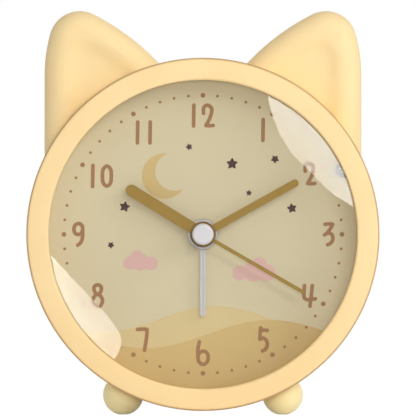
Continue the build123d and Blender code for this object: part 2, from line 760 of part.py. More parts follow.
def led():
    """Five millimetre lamp: a domed capsule with a flanged base and two legs."""
    out, thickness = led_flange
    leg_radius, leg_side, leg_reach = led_leg
    dome_centre = led_tip + led_radius
    lamp = rod(led_radius, dome_centre, carrier_back + thickness, led_place)
    lamp += Pos(led_place[0], dome_centre - depth_overall / 2, centre_z + led_place[1]) * Sphere(led_radius)
    lamp += rod(led_radius + out, carrier_back, carrier_back + thickness, led_place)
    for side in (-leg_side, leg_side):
        place = (led_place[0] + side, led_place[1])
        lamp += rod(leg_radius, carrier_back + thickness, carrier_back + leg_reach, place)
    return lamp


def led_board():
    width, height, corner = led_board_size
    outline = Pos(led_orbit + led_board_shift, 0) * RectangleRounded(width, height, corner)
    board = slab(Rot(0, 0, 90 - led_angle) * outline, *[carrier_back + depth for depth in led_board_depths])
    holes = [(led_leg[0], (led_place[0] + side, led_place[1])) for side in (-led_leg[1], led_leg[1])]
    holes += [(led_post[0], place) for place in led_post_places()]
    for radius, place in holes:
        board -= rod(radius, carrier_back, carrier_back + led_leg[2] + beyond, place)
    return board


# Gears

def toothed(teeth, module, phase):
    """Wheel outline with narrow straight-sided teeth; one tooth points along the phase angle."""
    pitch = 360 / teeth
    tip = teeth * module / 2 + tooth_addendum * module
    root = teeth * module / 2 - tooth_dedendum * module
    flank = ((root, -tooth_root_share), (tip, -tooth_tip_share), (tip, tooth_tip_share), (root, tooth_root_share))
    corners = []
    for tooth in range(teeth):
        for radius, share in flank:
            corners.append(placed(radius, phase + (tooth + share) * pitch))
    return make_face(Polyline(*corners, close=True))


def meshed_phase(place, other_place, phase, wheel, other_wheel):
    """Phase that puts a gap of the other wheel where this wheel has its tooth."""
    toward = degrees(atan2(other_place[1] - place[1], other_place[0] - place[0]))
    turns = (toward - phase) * wheel[0] / 360
    return toward + 180 + (0.5 + turns) * 360 / other_wheel[0]


def gear(wheel, phase, place=(0, 0), bore=0.0):
    teeth, module, front, back = wheel
    outline = toothed(teeth, module, phase)
    if bore:
        outline -= Circle(bore)
    return slab(Pos(*place) * outline, front, back)


def arbor(radius, pivot, place):
    """Thin arbor of the going train between the middle plate and the bridge."""
    front_pivot, front_shoulder, rear_shoulder, rear_pivot = train_depths
    bar = rod(radius, front_shoulder, rear_shoulder, place) + rod(pivot, front_pivot, front_shoulder, place)
    return bar + rod(pivot, rear_shoulder, rear_pivot, place)


# Phases run from each leading wheel, whose first tooth points at three o'clock
axis_place = (0, 0)
minute_wheel_phase = meshed_phase(axis_place, minute_post, 0, cannon_gear, minute_wheel_gear)
hour_wheel_phase = meshed_phase(minute_post, axis_place, 0, minute_wheel_pinion, hour_gear)
time_pinion_phase = meshed_phase(minute_post, time_setting_place, minute_wheel_phase, minute_wheel_gear,
                                 time_setting_pinion)
alarm_pinion_phase = meshed_phase(axis_place, alarm_setting_place, 0, alarm_gear, alarm_setting_pinion)
third_wheel_phase = meshed_phase(axis_place, third_place, 0, second_pinion, third_gear)
centre_wheel_phase = meshed_phase(third_place, axis_place, 0, third_pinion, centre_gear)
idler_pinion_phase = meshed_phase(axis_place, idler_place, 0, second_gear, idler_pinion)
rotor_pinion_phase = meshed_phase(idler_place, rotor_place, 0, idler_gear, rotor_pinion)


def alarm_wheel():
    wheel = gear(alarm_gear, 0, bore=alarm_tube[1])
    for angle in tab_angles:
        wheel -= rod(4, alarm_gear[2] - beyond, alarm_gear[3] + beyond, placed(9.6, angle))
    return wheel + tube(*alarm_tube, alarm_hand_size[4], alarm_gear[3])


def hour_wheel():
    return gear(hour_gear, hour_wheel_phase, bore=hour_tube[1]) + tube(*hour_tube, hour_hand_size[4], hour_gear[3])


def cannon_pinion():
    """Minute tube with its pinion in front of a plain tail that the centre wheel slips on."""
    pinion = gear(cannon_gear, 0, bore=minute_tube[1])
    stem = tube(*minute_tube, minute_hand_size[4], cannon_gear[2])
    return stem + pinion + tube(cannon_tail[0], minute_tube[1], cannon_gear[3], cannon_tail[1])


def minute_wheel():
    bore = minute_post_radius + touch / 2
    wheel = gear(minute_wheel_gear, minute_wheel_phase, minute_post, bore)
    return wheel + gear(minute_wheel_pinion, 0, minute_post, bore)


def setting_arbor(pinion, phase, place):
    bar = rod(setting_arbor_radius, setting_arbor_shoulder, setting_arbor_back, place)
    bar += rod(setting_arbor_pivot, module_front + 4 * touch, setting_arbor_shoulder, place)
    return bar + gear(pinion, phase, place)


def centre_wheel():
    """Driven by the going train; it slips on the cannon pinion when the hands are set."""
    return gear(centre_gear, centre_wheel_phase, bore=cannon_tail[0] + touch / 2)


def third_wheel():
    wheel = gear(third_gear, third_wheel_phase, third_place) + gear(third_pinion, 0, third_place)
    rear_shoulder = bridge_depths[0]
    wheel += rod(arbor_radius, third_pinion[3], rear_shoulder, third_place)
    return wheel + rod(pivot_radius, rear_shoulder, train_depths[3], third_place)


def second_wheel():
    """Long arbor through the whole movement; the second hand sits on its front end."""
    rear_shoulder, rear_pivot = train_depths[2:]
    bar = rod(second_arbor_radius, second_hand_size[4], rear_shoulder)
    bar += rod(second_pivot_radius, rear_shoulder, rear_pivot)
    return bar + gear(second_pinion, 0) + gear(second_gear, 0)


def intermediate_wheel():
    wheel = gear(idler_pinion, idler_pinion_phase, idler_place) + gear(idler_gear, 0, idler_place)
    return wheel + arbor(arbor_radius, pivot_radius, idler_place)


def rotor():
    """Permanent magnet rotor of the stepping motor."""
    radius, front, back = magnet_size
    turned = gear(rotor_pinion, rotor_pinion_phase, rotor_place) + arbor(arbor_radius, pivot_radius, rotor_place)
    return turned + rod(radius, front, back, rotor_place)


# Movement frame, motor and electronics

def module_outline(inset=0.0):
    width = 2 * (module_half_width - inset)
    height = module_top - module_bottom - 2 * inset
    return Pos(0, (module_top + module_bottom) / 2) * RectangleRounded(width, height, 3 - inset)


def inner_plate(depths):
    """Blank for a plate inside the movement, cut away for the coil."""
    half_width, above = coil_window
    blank = slab(module_outline(module_wall + plate_gap), *depths)
    return blank - block((-half_width, half_width), (module_bottom, coil_z + above),
                         (depths[0] - beyond, depths[1] + beyond))


def movement_front_plate():
    back = module_front + module_plate
    plate = slab(module_outline(), module_front, back)
    for x, z in lug_places:
        inward = x * 0.86
        plate += block(sorted((inward, x)), (z - 3, z + 3), (module_front, back - plate_gap))
        plate += rod(3, module_front, back - plate_gap, (x, z))
        plate -= rod(small_screw[2] + touch, module_front - beyond, back + beyond, (x, z))
    for place in pillar_places:
        plate += rod(pillar_radius, back, middle_plate_depths[0], place)
        plate -= rod(module_screw[2], module_front + beyond, middle_plate_depths[0], place)
    for place in (time_setting_place, alarm_setting_place):
        plate -= rod(setting_arbor_pivot + running, module_front, back + beyond, place)
    plate -= rod(alarm_tube[0] + running, module_front - beyond, back + beyond)
    return plate + tube(alarm_tube[0] + running + beyond, alarm_tube[0] + running, carrier_front + 2 * touch,
                        module_front)


def bored(plate, depths, holes):
    """A plate with round holes, each given as (radius, place)."""
    for radius, place in holes:
        plate -= rod(radius, depths[0] - beyond, depths[1] + beyond, place)
    return plate


def middle_plate():
    """Plate between the motion work and the going train; it carries the minute wheel's post."""
    plate = inner_plate(middle_plate_depths)
    plate += rod(minute_post_radius, minute_wheel_pinion[2] + plate_gap, middle_plate_depths[0], minute_post)
    holes = [(second_arbor_radius + 2 * running, axis_place), (arbor_radius + running, third_place)]
    holes += [(pivot_radius + running, place) for place in (idler_place, rotor_place)]
    holes += [(setting_arbor_radius + running, place) for place in (time_setting_place, alarm_setting_place)]
    holes += [(module_screw[2] + screw_gap, place) for place in pillar_places]
    return bored(plate, middle_plate_depths, holes)


def train_bridge():
    """Plate behind the going train with its rear bearings, standing on four pillars."""
    plate = inner_plate(bridge_depths)
    for place in pillar_places:
        plate += rod(pillar_radius, middle_plate_depths[1], bridge_depths[0], place)
        plate -= rod(module_screw[2] + screw_gap, middle_plate_depths[0], bridge_depths[1], place)
    holes = [(second_pivot_radius + running, axis_place)]
    holes += [(pivot_radius + running, place) for place in (third_place, idler_place, rotor_place)]
    holes += [(setting_arbor_radius + running, place) for place in (time_setting_place, alarm_setting_place)]
    window = block(*crystal_window, (bridge_depths[0] - beyond, bridge_depths[1] + beyond))
    return bored(plate, bridge_depths, holes) - window


def movement_back_case():
    seat = module_back - module_wall
    shell = slab(module_outline(), module_front + module_plate, module_back)
    shell -= slab(module_outline(module_wall), module_front + module_plate, seat)
    for place in pillar_places:
        shell += rod(pillar_radius, bridge_depths[1], module_back, place)
        shell -= rod(module_screw[0] + 2 * touch, seat, module_back + beyond, place)
        shell -= rod(module_screw[2] + screw_gap, bridge_depths[1], module_back, place)
    holes = [(setting_arbor_radius + running, place) for place in (time_setting_place, alarm_setting_place)]
    holes += [(wire_hole_radius, place) for place in wire_holes]
    return bored(shell, (seat, module_back), holes)


def stator():
    """Soft iron sheet around the rotor, with two legs down to the ends of the coil's core."""
    z = rotor_place[1]
    outline = Pos(0, z) * Rectangle(*stator_bar)
    leg_x, leg_width = stator_leg
    for side in (-leg_x, leg_x):
        outline += Pos(side, (z + coil_z) / 2) * Rectangle(leg_width, z - coil_z + 4)
    outline -= Pos(*rotor_place) * Circle(stator_holes[0])
    outline -= Pos(*idler_place) * Circle(stator_holes[1])
    return slab(outline, *stator_depths)


def coil_bobbin():
    """Core and flanged former of the motor coil, lying across the foot of the stator."""
    core, winding, flange = bobbin_radii
    former = lying_rod(core, -bobbin_half - 2 * touch, bobbin_half + 2 * touch, coil_z, coil_depth)
    for start in (-bobbin_half, bobbin_half - bobbin_flange):
        former += lying_rod(flange, start, start + bobbin_flange, coil_z, coil_depth)
    return former


def coil_winding():
    core, winding, flange = bobbin_radii
    half = bobbin_half - bobbin_flange
    return lying_rod(winding, -half, half, coil_z, coil_depth) - lying_rod(core, -far, far, coil_z, coil_depth)


def movement_board():
    return block(*movement_board_box) + block(*movement_chip_box)


def quartz_crystal():
    """Watch crystal in a small round can, lying under the board in a window of the bridge."""
    return lying_rod(*crystal)


def alarm_contact():
    """Bronze blade that rests behind the hour wheel, on a block at the wall."""
    return block(*alarm_blade_box) + block(*alarm_block_box)


# Knobs, switch, buzzer and hands

def setting_knob(place):
    """Fluted thumb knob on a stem that passes through the back."""
    flutes, flute_radius, outside = knob_flutes
    outline = Circle(knob_radius)
    for flute in range(flutes):
        outline -= Pos(*placed(knob_radius + outside, flute * 360 / flutes)) * Circle(flute_radius)
    knob = slab(Pos(*place) * outline, knob_front, depth_overall)
    knob += rod(knob_stem_radius, module_back + 14 * touch, knob_front, place)
    back_face = knob.faces().sort_by(Axis.Y)[-1]
    knob = fillet(back_face.edges(), 0.7)
    knob -= rod(knob_radius - knob_rim, depth_overall - knob_hollow, depth_overall + beyond, place)
    return knob - rod(setting_arbor_radius, module_back, setting_arbor_back, place)


def alarm_switch_body():
    x, z = slider_place
    inside = drum_back - wall
    half_width, half_height, back, front = switch_case
    body = block((x - half_width, x + half_width), (z - half_height, z + half_height),
                 (inside - front, inside - back))
    radius, length, places = switch_pins
    for step in places:
        body += rod(radius, inside - front - length, inside - front, (x, z + step))
    return body


def alarm_switch_slider():
    x, z = slider_place
    low = z - slider_travel / 2
    inside = drum_back - wall
    half_width, half_height, back, front = slider_shoe
    shoe = block((x - half_width, x + half_width), (low - half_height, low + half_height),
                 (inside - front, inside - back))
    half_width, half_height = slider_size[0] / 2, slider_size[1] / 2
    top = drum_back + slider_proud
    thumb = block((x - half_width, x + half_width), (low - half_height, low + half_height), (inside - 6 * touch, top))
    rib_width, rib_depth = slider_ribs
    for step in (-1, 0, 1):
        thumb -= block((x - slider_size[0], x + slider_size[0]),
                       (low + step - rib_width / 2, low + step + rib_width / 2), (top - rib_depth, top + beyond))
    return shoe + thumb


def buzzer():
    """Piezo sounder: a brass disc in a shallow round can."""
    rim, mouth, port_radius, port_depth = buzzer_hollow
    inside = drum_back - wall
    can = rod(buzzer_radius, inside - buzzer_height, inside, buzzer_place)
    can -= rod(buzzer_radius - rim, inside - mouth, inside + beyond, buzzer_place)
    return can - rod(port_radius, inside - port_depth, drum_back, buzzer_place)


def hand(size, bore, rounded=True):
    """Flat hand about a ring hub; the angle is clockwise from twelve."""
    width, reach, angle, hub, front, back = size
    bar = SlotOverall(reach, width) if rounded else Rectangle(reach, width)
    bar = Pos(reach / 2, 0) * bar
    outline = Rot(0, 0, 90 - angle) * (bar + Pos(reach / 4, 0) * Rectangle(reach / 2, width)) + Circle(hub)
    return slab(outline - Circle(bore), front, back)


def alarm_hand():
    """Pressed hand with a groove along its middle that leaves two raised edges."""
    width, reach, angle, hub, front, back = alarm_hand_size
    groove_width, groove_depth = alarm_hand_groove
    start = hub - groove_width
    length = reach - width / 2 - start
    groove = Rot(0, 0, 90 - angle) * (Pos(start + length / 2, 0) * Rectangle(length, groove_width))
    return hand(alarm_hand_size, alarm_tube[0]) - slab(groove, front - beyond, front + groove_depth)


def second_hand():
    """Square-ended second hand with a round cap over its hub."""
    strip = hand(second_hand_size, second_arbor_radius, rounded=False)
    cap = rod(hand_cap_radius, hand_cap_front, second_hand_size[4])
    return strip + fillet(cap.faces().sort_by(Axis.Y)[0].edges(), hand_cap_round)


# Wires, each pair lying side by side along its real route

def wire(points, shift=(0, 0, 0)):
    """One wire through points given as (x, z, depth): straight runs joined by wide arcs."""
    corners = [Vector(x + shift[0], depth + shift[2] - depth_overall / 2, centre_z + z + shift[1])
               for x, z, depth in points]
    radii = []
    for before, here, after in zip(corners, corners[1:], corners[2:]):
        turn = radians((here - before).get_angle(after - here))
        run = min((here - before).length, (after - here).length)
        radii.append(wire_arc_share * run / tan(turn / 2))
    path = FilletPolyline(*corners, radius=radii)
    print("wire arcs", [round(radius, 1) for radius in radii], "length", round(path.length, 1))
    return sweep(Plane(origin=path @ 0, z_dir=path % 0) * Circle(wire_radius), path)


def wire_pair(points, shift):
    return Compound(children=[wire(points), wire(points, shift)])


def battery_wires():
    """From the contact tags up both sides of the movement and into its back."""
    left = [(-27.2, -22.3, 31.0), (-29.0, -14.0, 31.6), (-29.4, -2.0, 33.0), (-27.0, 8.0, 35.6),
            (-24.0, 14.0, 36.6), (-20.6, 18.5, 36.2), (-19.2, 20.2, 33.7)]
    right = [(-x, z, depth) for x, z, depth in left]
    return Compound(children=[wire(left), wire(right)])


def led_wires():
    """From the lamp's board past the mouth of the ear to the control board."""
    route = [(44.0, 23.6, 19.4), (40.6, 30.6, 21.2), (34.4, 37.2, 23.6), (26.6, 41.8, 26.0), (20.4, 44.0, 27.6),
             (15.6, 44.9, 28.4)]
    return wire_pair(route, (0.9, 0.9, 0.9))


def lamp_supply_wires():
    """From the movement's back up to the control board."""
    route = [(-0.8, 18.5, 33.6), (-1.2, 20.4, 36.4), (-2.4, 26.0, 37.2), (-4.6, 32.0, 36.4), (-6.4, 38.0, 34.0),
             (-6.8, 43.7, 32.4)]
    return wire_pair(route, (1.6, 0, 0))


def buzzer_wires():
    """From the rim of the sounder into the movement's back."""
    route = [(11.45, -8.6, 36.2), (15.4, -8.8, 36.3), (19.0, -9.8, 36.3), (21.4, -11.0, 35.6), (22.2, -11.4, 33.7)]
    return wire_pair(route, (0, -1.2, 0))


def switch_wires():
    """From the slide switch's pins into the movement's back."""
    x, z = slider_place
    route = [(x + 0.6, z - 3.0, 31.4), (x + 4.0, z - 5.0, 31.6), (-30.4, -9.6, 34.0), (-26.4, -11.4, 36.2),
             (-23.0, -12.4, 36.0), (-21.8, -12.6, 33.7)]
    return wire_pair(route, (0, 1.2, 0))


def main():
    nodes = {}
    front_half, back_half = case_halves(case_solid())
    nodes["front_shell"] = front_shell(front_half)
    nodes["rear_shell"] = rear_shell(back_half)
    nodes["bezel"] = bezel()
    nodes["lens"] = lens()
    nodes["dial"] = dial()
    nodes["dial_carrier"] = dial_carrier()
    nodes["right_foot"] = foot()
    nodes["left_foot"] = mirror(foot(), Plane.YZ)
    nodes["case_screws"] = case_screws()
    nodes["small_screws"] = small_screws()
    nodes["light_button"] = light_button()
    nodes["button_spring"] = button_spring()
    nodes["light_switch"] = light_switch()
    nodes["control_board"] = control_board()
    nodes["step_up_coil"] = step_up_coil()
    nodes["led"] = led()
    nodes["led_board"] = led_board()
    nodes["battery_door"] = battery_door()
    nodes["battery"] = battery()
    nodes["battery_spring_contact"] = battery_spring_contact()
    nodes["battery_plate_contact"] = battery_plate_contact()
    nodes["hour_hand"] = hand(hour_hand_size, hour_tube[0])
    nodes["minute_hand"] = hand(minute_hand_size, minute_tube[0])
    nodes["second_hand"] = second_hand()
    nodes["alarm_hand"] = alarm_hand()
    nodes["movement_front_plate"] = movement_front_plate()
    nodes["middle_plate"] = middle_plate()
    nodes["train_bridge"] = train_bridge()
    nodes["movement_back_case"] = movement_back_case()
    nodes["module_screws"] = module_screws()
    nodes["alarm_wheel"] = alarm_wheel()
    nodes["hour_wheel"] = hour_wheel()
    nodes["cannon_pinion"] = cannon_pinion()
    nodes["minute_wheel"] = minute_wheel()
    nodes["time_setting_arbor"] = setting_arbor(time_setting_pinion, time_pinion_phase, time_setting_place)
    nodes["alarm_setting_arbor"] = setting_arbor(alarm_setting_pinion, alarm_pinion_phase, alarm_setting_place)
    nodes["centre_wheel"] = centre_wheel()
    nodes["third_wheel"] = third_wheel()
    nodes["second_wheel"] = second_wheel()
    nodes["intermediate_wheel"] = intermediate_wheel()
    nodes["rotor"] = rotor()
    nodes["stator"] = stator()
    nodes["coil_bobbin"] = coil_bobbin()
    nodes["coil_winding"] = coil_winding()
    nodes["movement_board"] = movement_board()
    nodes["quartz_crystal"] = quartz_crystal()
    nodes["alarm_contact"] = alarm_contact()
    nodes["time_knob"] = setting_knob(time_setting_place)
    nodes["alarm_knob"] = setting_knob(alarm_setting_place)
    nodes["alarm_switch_body"] = alarm_switch_body()
    nodes["alarm_switch_slider"] = alarm_switch_slider()
    nodes["buzzer"] = buzzer()
    nodes["battery_wires"] = battery_wires()
    nodes["led_wires"] = led_wires()
    nodes["lamp_supply_wires"] = lamp_supply_wires()
    nodes["buzzer_wires"] = buzzer_wires()
    nodes["switch_wires"] = switch_wires()
    for name, shape in nodes.items():
        export_step(shape, f"parts/{name}.step")
        print(name, len(shape.solids()), round(shape.volume, 2))


main()
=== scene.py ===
import bmesh
import bpy
import mathutils
import numpy as np
from math import radians
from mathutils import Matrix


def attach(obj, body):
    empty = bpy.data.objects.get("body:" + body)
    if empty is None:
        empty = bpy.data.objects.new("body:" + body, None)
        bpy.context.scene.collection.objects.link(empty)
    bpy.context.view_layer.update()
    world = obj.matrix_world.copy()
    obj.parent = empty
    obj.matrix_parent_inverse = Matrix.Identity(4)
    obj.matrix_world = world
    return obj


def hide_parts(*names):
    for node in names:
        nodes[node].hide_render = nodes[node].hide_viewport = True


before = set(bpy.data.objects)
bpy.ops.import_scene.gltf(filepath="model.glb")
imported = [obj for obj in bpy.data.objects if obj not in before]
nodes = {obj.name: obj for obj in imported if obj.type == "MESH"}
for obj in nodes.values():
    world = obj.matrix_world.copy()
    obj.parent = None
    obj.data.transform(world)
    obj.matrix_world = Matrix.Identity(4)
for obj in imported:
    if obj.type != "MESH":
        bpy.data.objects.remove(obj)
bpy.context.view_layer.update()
millimetre = 0.001
weldReach = 1e-6  # points of one surface closer than this are joined, in metres

# Places in millimetres: x to the right, z up from the dial's centre, depth back from the bezel's crest
clock = {
    "centreHeight": 58.8,  # dial centre above the floor
    "depthOverall": 50.0,
    "lensRadius": 53.3,
    "lensSeat": 2.8,
    "lensCrown": 0.2,
    "lensThickness": 1.5,
    "lensEdge": 50.24,  # where the dome meets its flat rim
    "lensBend": 0.2,  # how far the turn between the two reaches to either side
    "dialFront": 12.6,
    "dialRadius": 53.4,
    "caseBack": 41.0,
    "ledPlace": (45.56, 20.95),
    "ledTip": 7.8,
    "alarmKnob": (-17.86, 9.0),
    "timeKnob": (17.92, 9.0),
    "buttonTop": 57.3,
    "buttonDepth": 29.6,
    "capBack": 5.9,
}


def toLinear(colour):
    # screen colour, 0 to 255, to the linear colour that a shader takes, with alpha
    value = np.array(colour) / 255
    linear = np.where(value <= 0.04045, value / 12.92, ((value + 0.055) / 1.055) ** 2.4)
    return (*linear.tolist(), 1.0)


def deeper(colour, share):
    # each part of the colour times the share
    return tuple(share * part for part in colour)


def newObject(name, data):
    thing = bpy.data.objects.new(name, data)
    bpy.context.scene.collection.objects.link(thing)
    return thing


def inMetres(sizes):
    return [size * millimetre for size in sizes]


def depthPlace(depth):
    # y of a depth behind the bezel's crest, in metres
    return (depth - clock["depthOverall"] / 2) * millimetre


# Shapes
# A grid is an array of (rows, columns, 3) points in clock millimetres: x, depth, z.


def placed(grid):
    # x stays, depth runs back from the crest, z is lifted by the dial's height; all to metres
    x, depth, z = np.moveaxis(np.asarray(grid, float), -1, 0)
    y = depth - clock["depthOverall"] / 2
    return np.stack((x, y, z + clock["centreHeight"]), -1) * millimetre


def gridFaces(rows, columns, closed):
    # corner numbers of each square of the grid, the last column joined to the first when closed
    row = np.arange(rows - 1)[:, None]
    column = np.arange(columns if closed else columns - 1)[None, :]
    after = (column + 1) % columns
    near, far = row * columns, (row + 1) * columns
    corners = np.broadcast_arrays(near + column, near + after, far + after, far + column)
    return np.stack(corners, -1).reshape(-1, 4)


def surface(name, grids, closed=False, body="case", thickness=0.0, towards=None, flat=False):
    # one mesh from several grids: points laid end to end, squares numbered by row and column;
    # a thickness, in millimetres, goes inwards from the outside
    points, faces, start = [], [], 0
    for grid in grids:
        rows, columns = grid.shape[:2]
        points.append(placed(grid).reshape(-1, 3))
        faces.append(gridFaces(rows, columns, closed) + start)
        start += rows * columns
    points, faces = np.vstack(points), np.vstack(faces)
    mesh = bpy.data.meshes.new(name)
    mesh.from_pydata(points.tolist(), [], faces.tolist())
    work = bmesh.new()
    work.from_mesh(mesh)
    bmesh.ops.remove_doubles(work, verts=work.verts, dist=weldReach)
    bmesh.ops.dissolve_degenerate(work, edges=work.edges, dist=weldReach / 10)
    bmesh.ops.recalc_face_normals(work, faces=work.faces)
    if towards is not None:
        flip = [face for face in work.faces if face.normal.dot(towards) < 0]
        bmesh.ops.reverse_faces(work, faces=flip)
    work.to_mesh(mesh)
    work.free()
    mesh.shade_flat() if flat else mesh.shade_smooth()
    piece = newObject(name, mesh)
    if thickness:
        wall = piece.modifiers.new("wall", "SOLIDIFY")
        wall.thickness = thickness * millimetre
        wall.offset = -1
    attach(piece, body)
    return piece


def smoothPath(points, closed, count):
    # Catmull-Rom: on each span a cubic blend of the four nearest points
    points = np.asarray(points, float)
    if closed:
        padded, spans = np.vstack((points[-1:], points, points[:2])), len(points)
    else:
        ends = 2 * points[0] - points[1], 2 * points[-1] - points[-2]
        padded, spans = np.vstack((ends[:1], points, ends[1:])), len(points) - 1
    along = np.linspace(0, spans, count)
    span = np.minimum(along.astype(int), spans - 1)
    part = (along - span)[:, None]
    a, b, c, d = (padded[span + step] for step in range(4))
    slope, bend, twist = c - a, 2 * a - 5 * b + 4 * c - d, 3 * b - a - 3 * c + d
    return 0.5 * (2 * b + slope * part + bend * part ** 2 + twist * part ** 3)


def stroke(points, width, depth, closed=False, count=40, endRows=7):
    # a line of even width: each row is the path point plus and minus the half width along the normal,
    # and past an open end the half width falls as the square root of r squared less the distance squared
    path = smoothPath(points, closed, count)
    tangent = np.gradient(path, axis=0)
    if closed:
        tangent[0] = tangent[-1] = path[1] - path[-2]
    tangent /= np.linalg.norm(tangent, axis=1)[:, None]
    half = np.full(len(path), width / 2)
    if not closed:
        angle = np.linspace(0, np.pi / 2, endRows + 1)[:-1]
        reach = width / 2 * np.cos(angle)[:, None]
        path = np.vstack((path[0] - tangent[0] * reach, path, path[-1] + tangent[-1] * reach[::-1]))
        ends = np.repeat(tangent[[0, -1]], endRows, 0)
        tangent = np.vstack((ends[:endRows], tangent, ends[endRows:]))
        cap = width / 2 * np.sin(angle)
        half = np.concatenate((cap, half, cap[::-1]))
    normal = np.stack((-tangent[:, 1], tangent[:, 0]), -1)
    across = np.linspace(-1, 1, 3)[None, :, None]
    flat = path[:, None] + normal[:, None] * half[:, None, None] * across
    return np.stack((flat[..., 0], np.full(flat.shape[:2], depth), flat[..., 1]), -1)


def patch(centre, depth, radiusAt, rings=2, count=48):
    # a flat shape round a centre: radius at each angle times the share from the middle to the edge
    angle = np.linspace(0, 2 * np.pi, count, endpoint=False)
    share = np.linspace(0, 1, rings + 1)[:, None]
    radius = share * radiusAt(angle)[None, :]
    x, z = centre[0] + radius * np.cos(angle), centre[1] + radius * np.sin(angle)
    return np.stack((x, np.full(x.shape, depth), z), -1)


def band(lower, upper, depth, rings=2):
    # a flat strip between two edges with as many points: straight blends from one to the other
    share = np.linspace(0, 1, rings + 1)[:, None, None]
    flat = np.asarray(lower)[None] * (1 - share) + np.asarray(upper)[None] * share
    return np.stack((flat[..., 0], np.full(flat.shape[:2], depth), flat[..., 1]), -1)


def turned(profile, centre=(0, 0), count=96):
    # a profile of (radius, depth) carried round an axis that runs front to back
    profile = np.asarray(profile, float)
    angle = np.linspace(0, 2 * np.pi, count, endpoint=False)
    x = centre[0] + profile[:, :1] * np.cos(angle)
    z = centre[1] + profile[:, :1] * np.sin(angle)
    return np.stack((x, np.broadcast_to(profile[:, 1:], x.shape), z), -1)


# Shader steps and groups


def feed(tree, node, **values):
    # sets inputs by name or, after an underscore, by number; a value that is a socket is linked
    for label, value in values.items():
        socket = node.inputs[int(label[1:]) if label[0] == "_" else label.replace("_", " ")]
        if isinstance(value, bpy.types.NodeSocket):
            tree.links.new(value, socket)
        else:
            socket.default_value = value
    return node


def add(tree, kind, settings=None, **values):
    # a node with its properties and inputs set
    node = tree.nodes.new(kind)
    for label, value in (settings or {}).items():
        setattr(node, label, value)
    return feed(tree, node, **values)


def calculate(tree, operation, first, second=0.0, third=0.0):
    # one sum on numbers or sockets
    return add(tree, "ShaderNodeMath", {"operation": operation}, _0=first, _1=second, _2=third).outputs[0]


def spread(tree, value, start, full, first=0.0, last=1.0):
    # from first to last in step with the value's way from start to full, and no farther
    return add(tree, "ShaderNodeMapRange", _0=value, _1=start, _2=full, _3=first, _4=last).outputs[0]


def blended(tree, share, first, second):
    # the first colour times one less the share, plus the second times the share
    return add(tree, "ShaderNodeMix", {"data_type": "RGBA"}, Factor=share, _6=first, _7=second).outputs[2]


def mixShaders(tree, share, first, second):
    # the first shader times one less the share, plus the second times the share
    return add(tree, "ShaderNodeMixShader", Fac=share, _1=first.outputs[0], _2=second.outputs[0])


def objectPlace(tree):
    return tree.nodes.new("ShaderNodeTexCoord").outputs["Object"]


def placeAlong(tree, axis):
    # one coordinate of the place on the object
    return add(tree, "ShaderNodeSeparateXYZ", Vector=objectPlace(tree)).outputs[axis]


def fromAxis(tree, centre=(0, 0)):
    # distance from an axis that runs front to back: length of the place less the centre's, with y left out
    x, z = centre
    centred = add(tree, "ShaderNodeMapping", Vector=objectPlace(tree), Scale=(1, 0, 1),
                  Location=(-x * millimetre, 0, -(z + clock["centreHeight"]) * millimetre))
    return add(tree, "ShaderNodeVectorMath", {"operation": "LENGTH"}, _0=centred.outputs[0]).outputs["Value"]


texture = {
    "driftBand": (0.35, 0.65),  # noise values where the second colour starts and is full
    "sheenScale": 70.0,
    "grainShare": 0.06,  # how far the grain moves the roughness
    "drift": (3.0, 0.55),  # this and the rest: detail and roughness of each noise
    "grain": (2.0, 0.6),
    "sheen": (3.0, 0.5),
    "lines": (4.0, 0.6),
    "ripple": (2.0, 0.5),
}


def noise(tree, kind, scale, place):
    # 0 to 1, with one of the kinds' detail and roughness
    detail, rough = texture[kind]
    node = add(tree, "ShaderNodeTexNoise", Vector=place, Scale=scale, Detail=detail, Roughness=rough)
    return node.outputs["Fac"]


def bump(tree, height, strength, depth):
    # depth in millimetres
    node = add(tree, "ShaderNodeBump", Strength=strength, Distance=depth * millimetre, Height=height)
    return node.outputs["Normal"]


def newGroup(name, inputs, outputs):
    # inputs are a label, a kind of socket and a value, outputs a label and a kind
    group = bpy.data.node_groups.new(name, "ShaderNodeTree")
    for label, kind, value in inputs:
        socket = group.interface.new_socket(name=label, in_out="INPUT", socket_type="NodeSocket" + kind)
        socket.default_value = value
    for label, kind in outputs:
        group.interface.new_socket(name=label, in_out="OUTPUT", socket_type="NodeSocket" + kind)
    return group, group.nodes.new("NodeGroupInput").outputs, group.nodes.new("NodeGroupOutput")


def driftGroup():
    # slow colour drift: the second colour comes in as noise crosses a band, up to the amount
    group, source, sink = newGroup("colourDrift",
        (("Colour", "Color", (0.8, 0.8, 0.8, 1)), ("Second", "Color", (0.7, 0.7, 0.7, 1)),
         ("Scale", "Float", 40.0), ("Amount", "Float", 0.3)),
        (("Colour", "Color"),))
    cloud = noise(group, "drift", source["Scale"], objectPlace(group))
    share = spread(group, cloud, *texture["driftBand"], 0.0, source["Amount"])
    feed(group, sink, Colour=blended(group, share, source["Colour"], source["Second"]))
    return group


def skinGroup():
    # spark-eroded mould texture: grain as height, and a roughness moved by the grain's share
    # and by slow noise less a half, times the drift
    group, source, sink = newGroup("mouldSkin",
        (("Grain Scale", "Float", 2600.0), ("Roughness", "Float", 0.45), ("Sheen Drift", "Float", 0.08)),
        (("Height", "Float"), ("Roughness", "Float")))
    place = objectPlace(group)
    fine = noise(group, "grain", source["Grain Scale"], place)
    slow = calculate(group, "SUBTRACT", noise(group, "sheen", texture["sheenScale"], place), 0.5)
    scaled = calculate(group, "MULTIPLY", slow, source["Sheen Drift"])
    grainy = calculate(group, "MULTIPLY", fine, texture["grainShare"])
    rough = calculate(group, "ADD", scaled, source["Roughness"])
    feed(group, sink, Height=fine, Roughness=calculate(group, "ADD", rough, grainy))
    return group


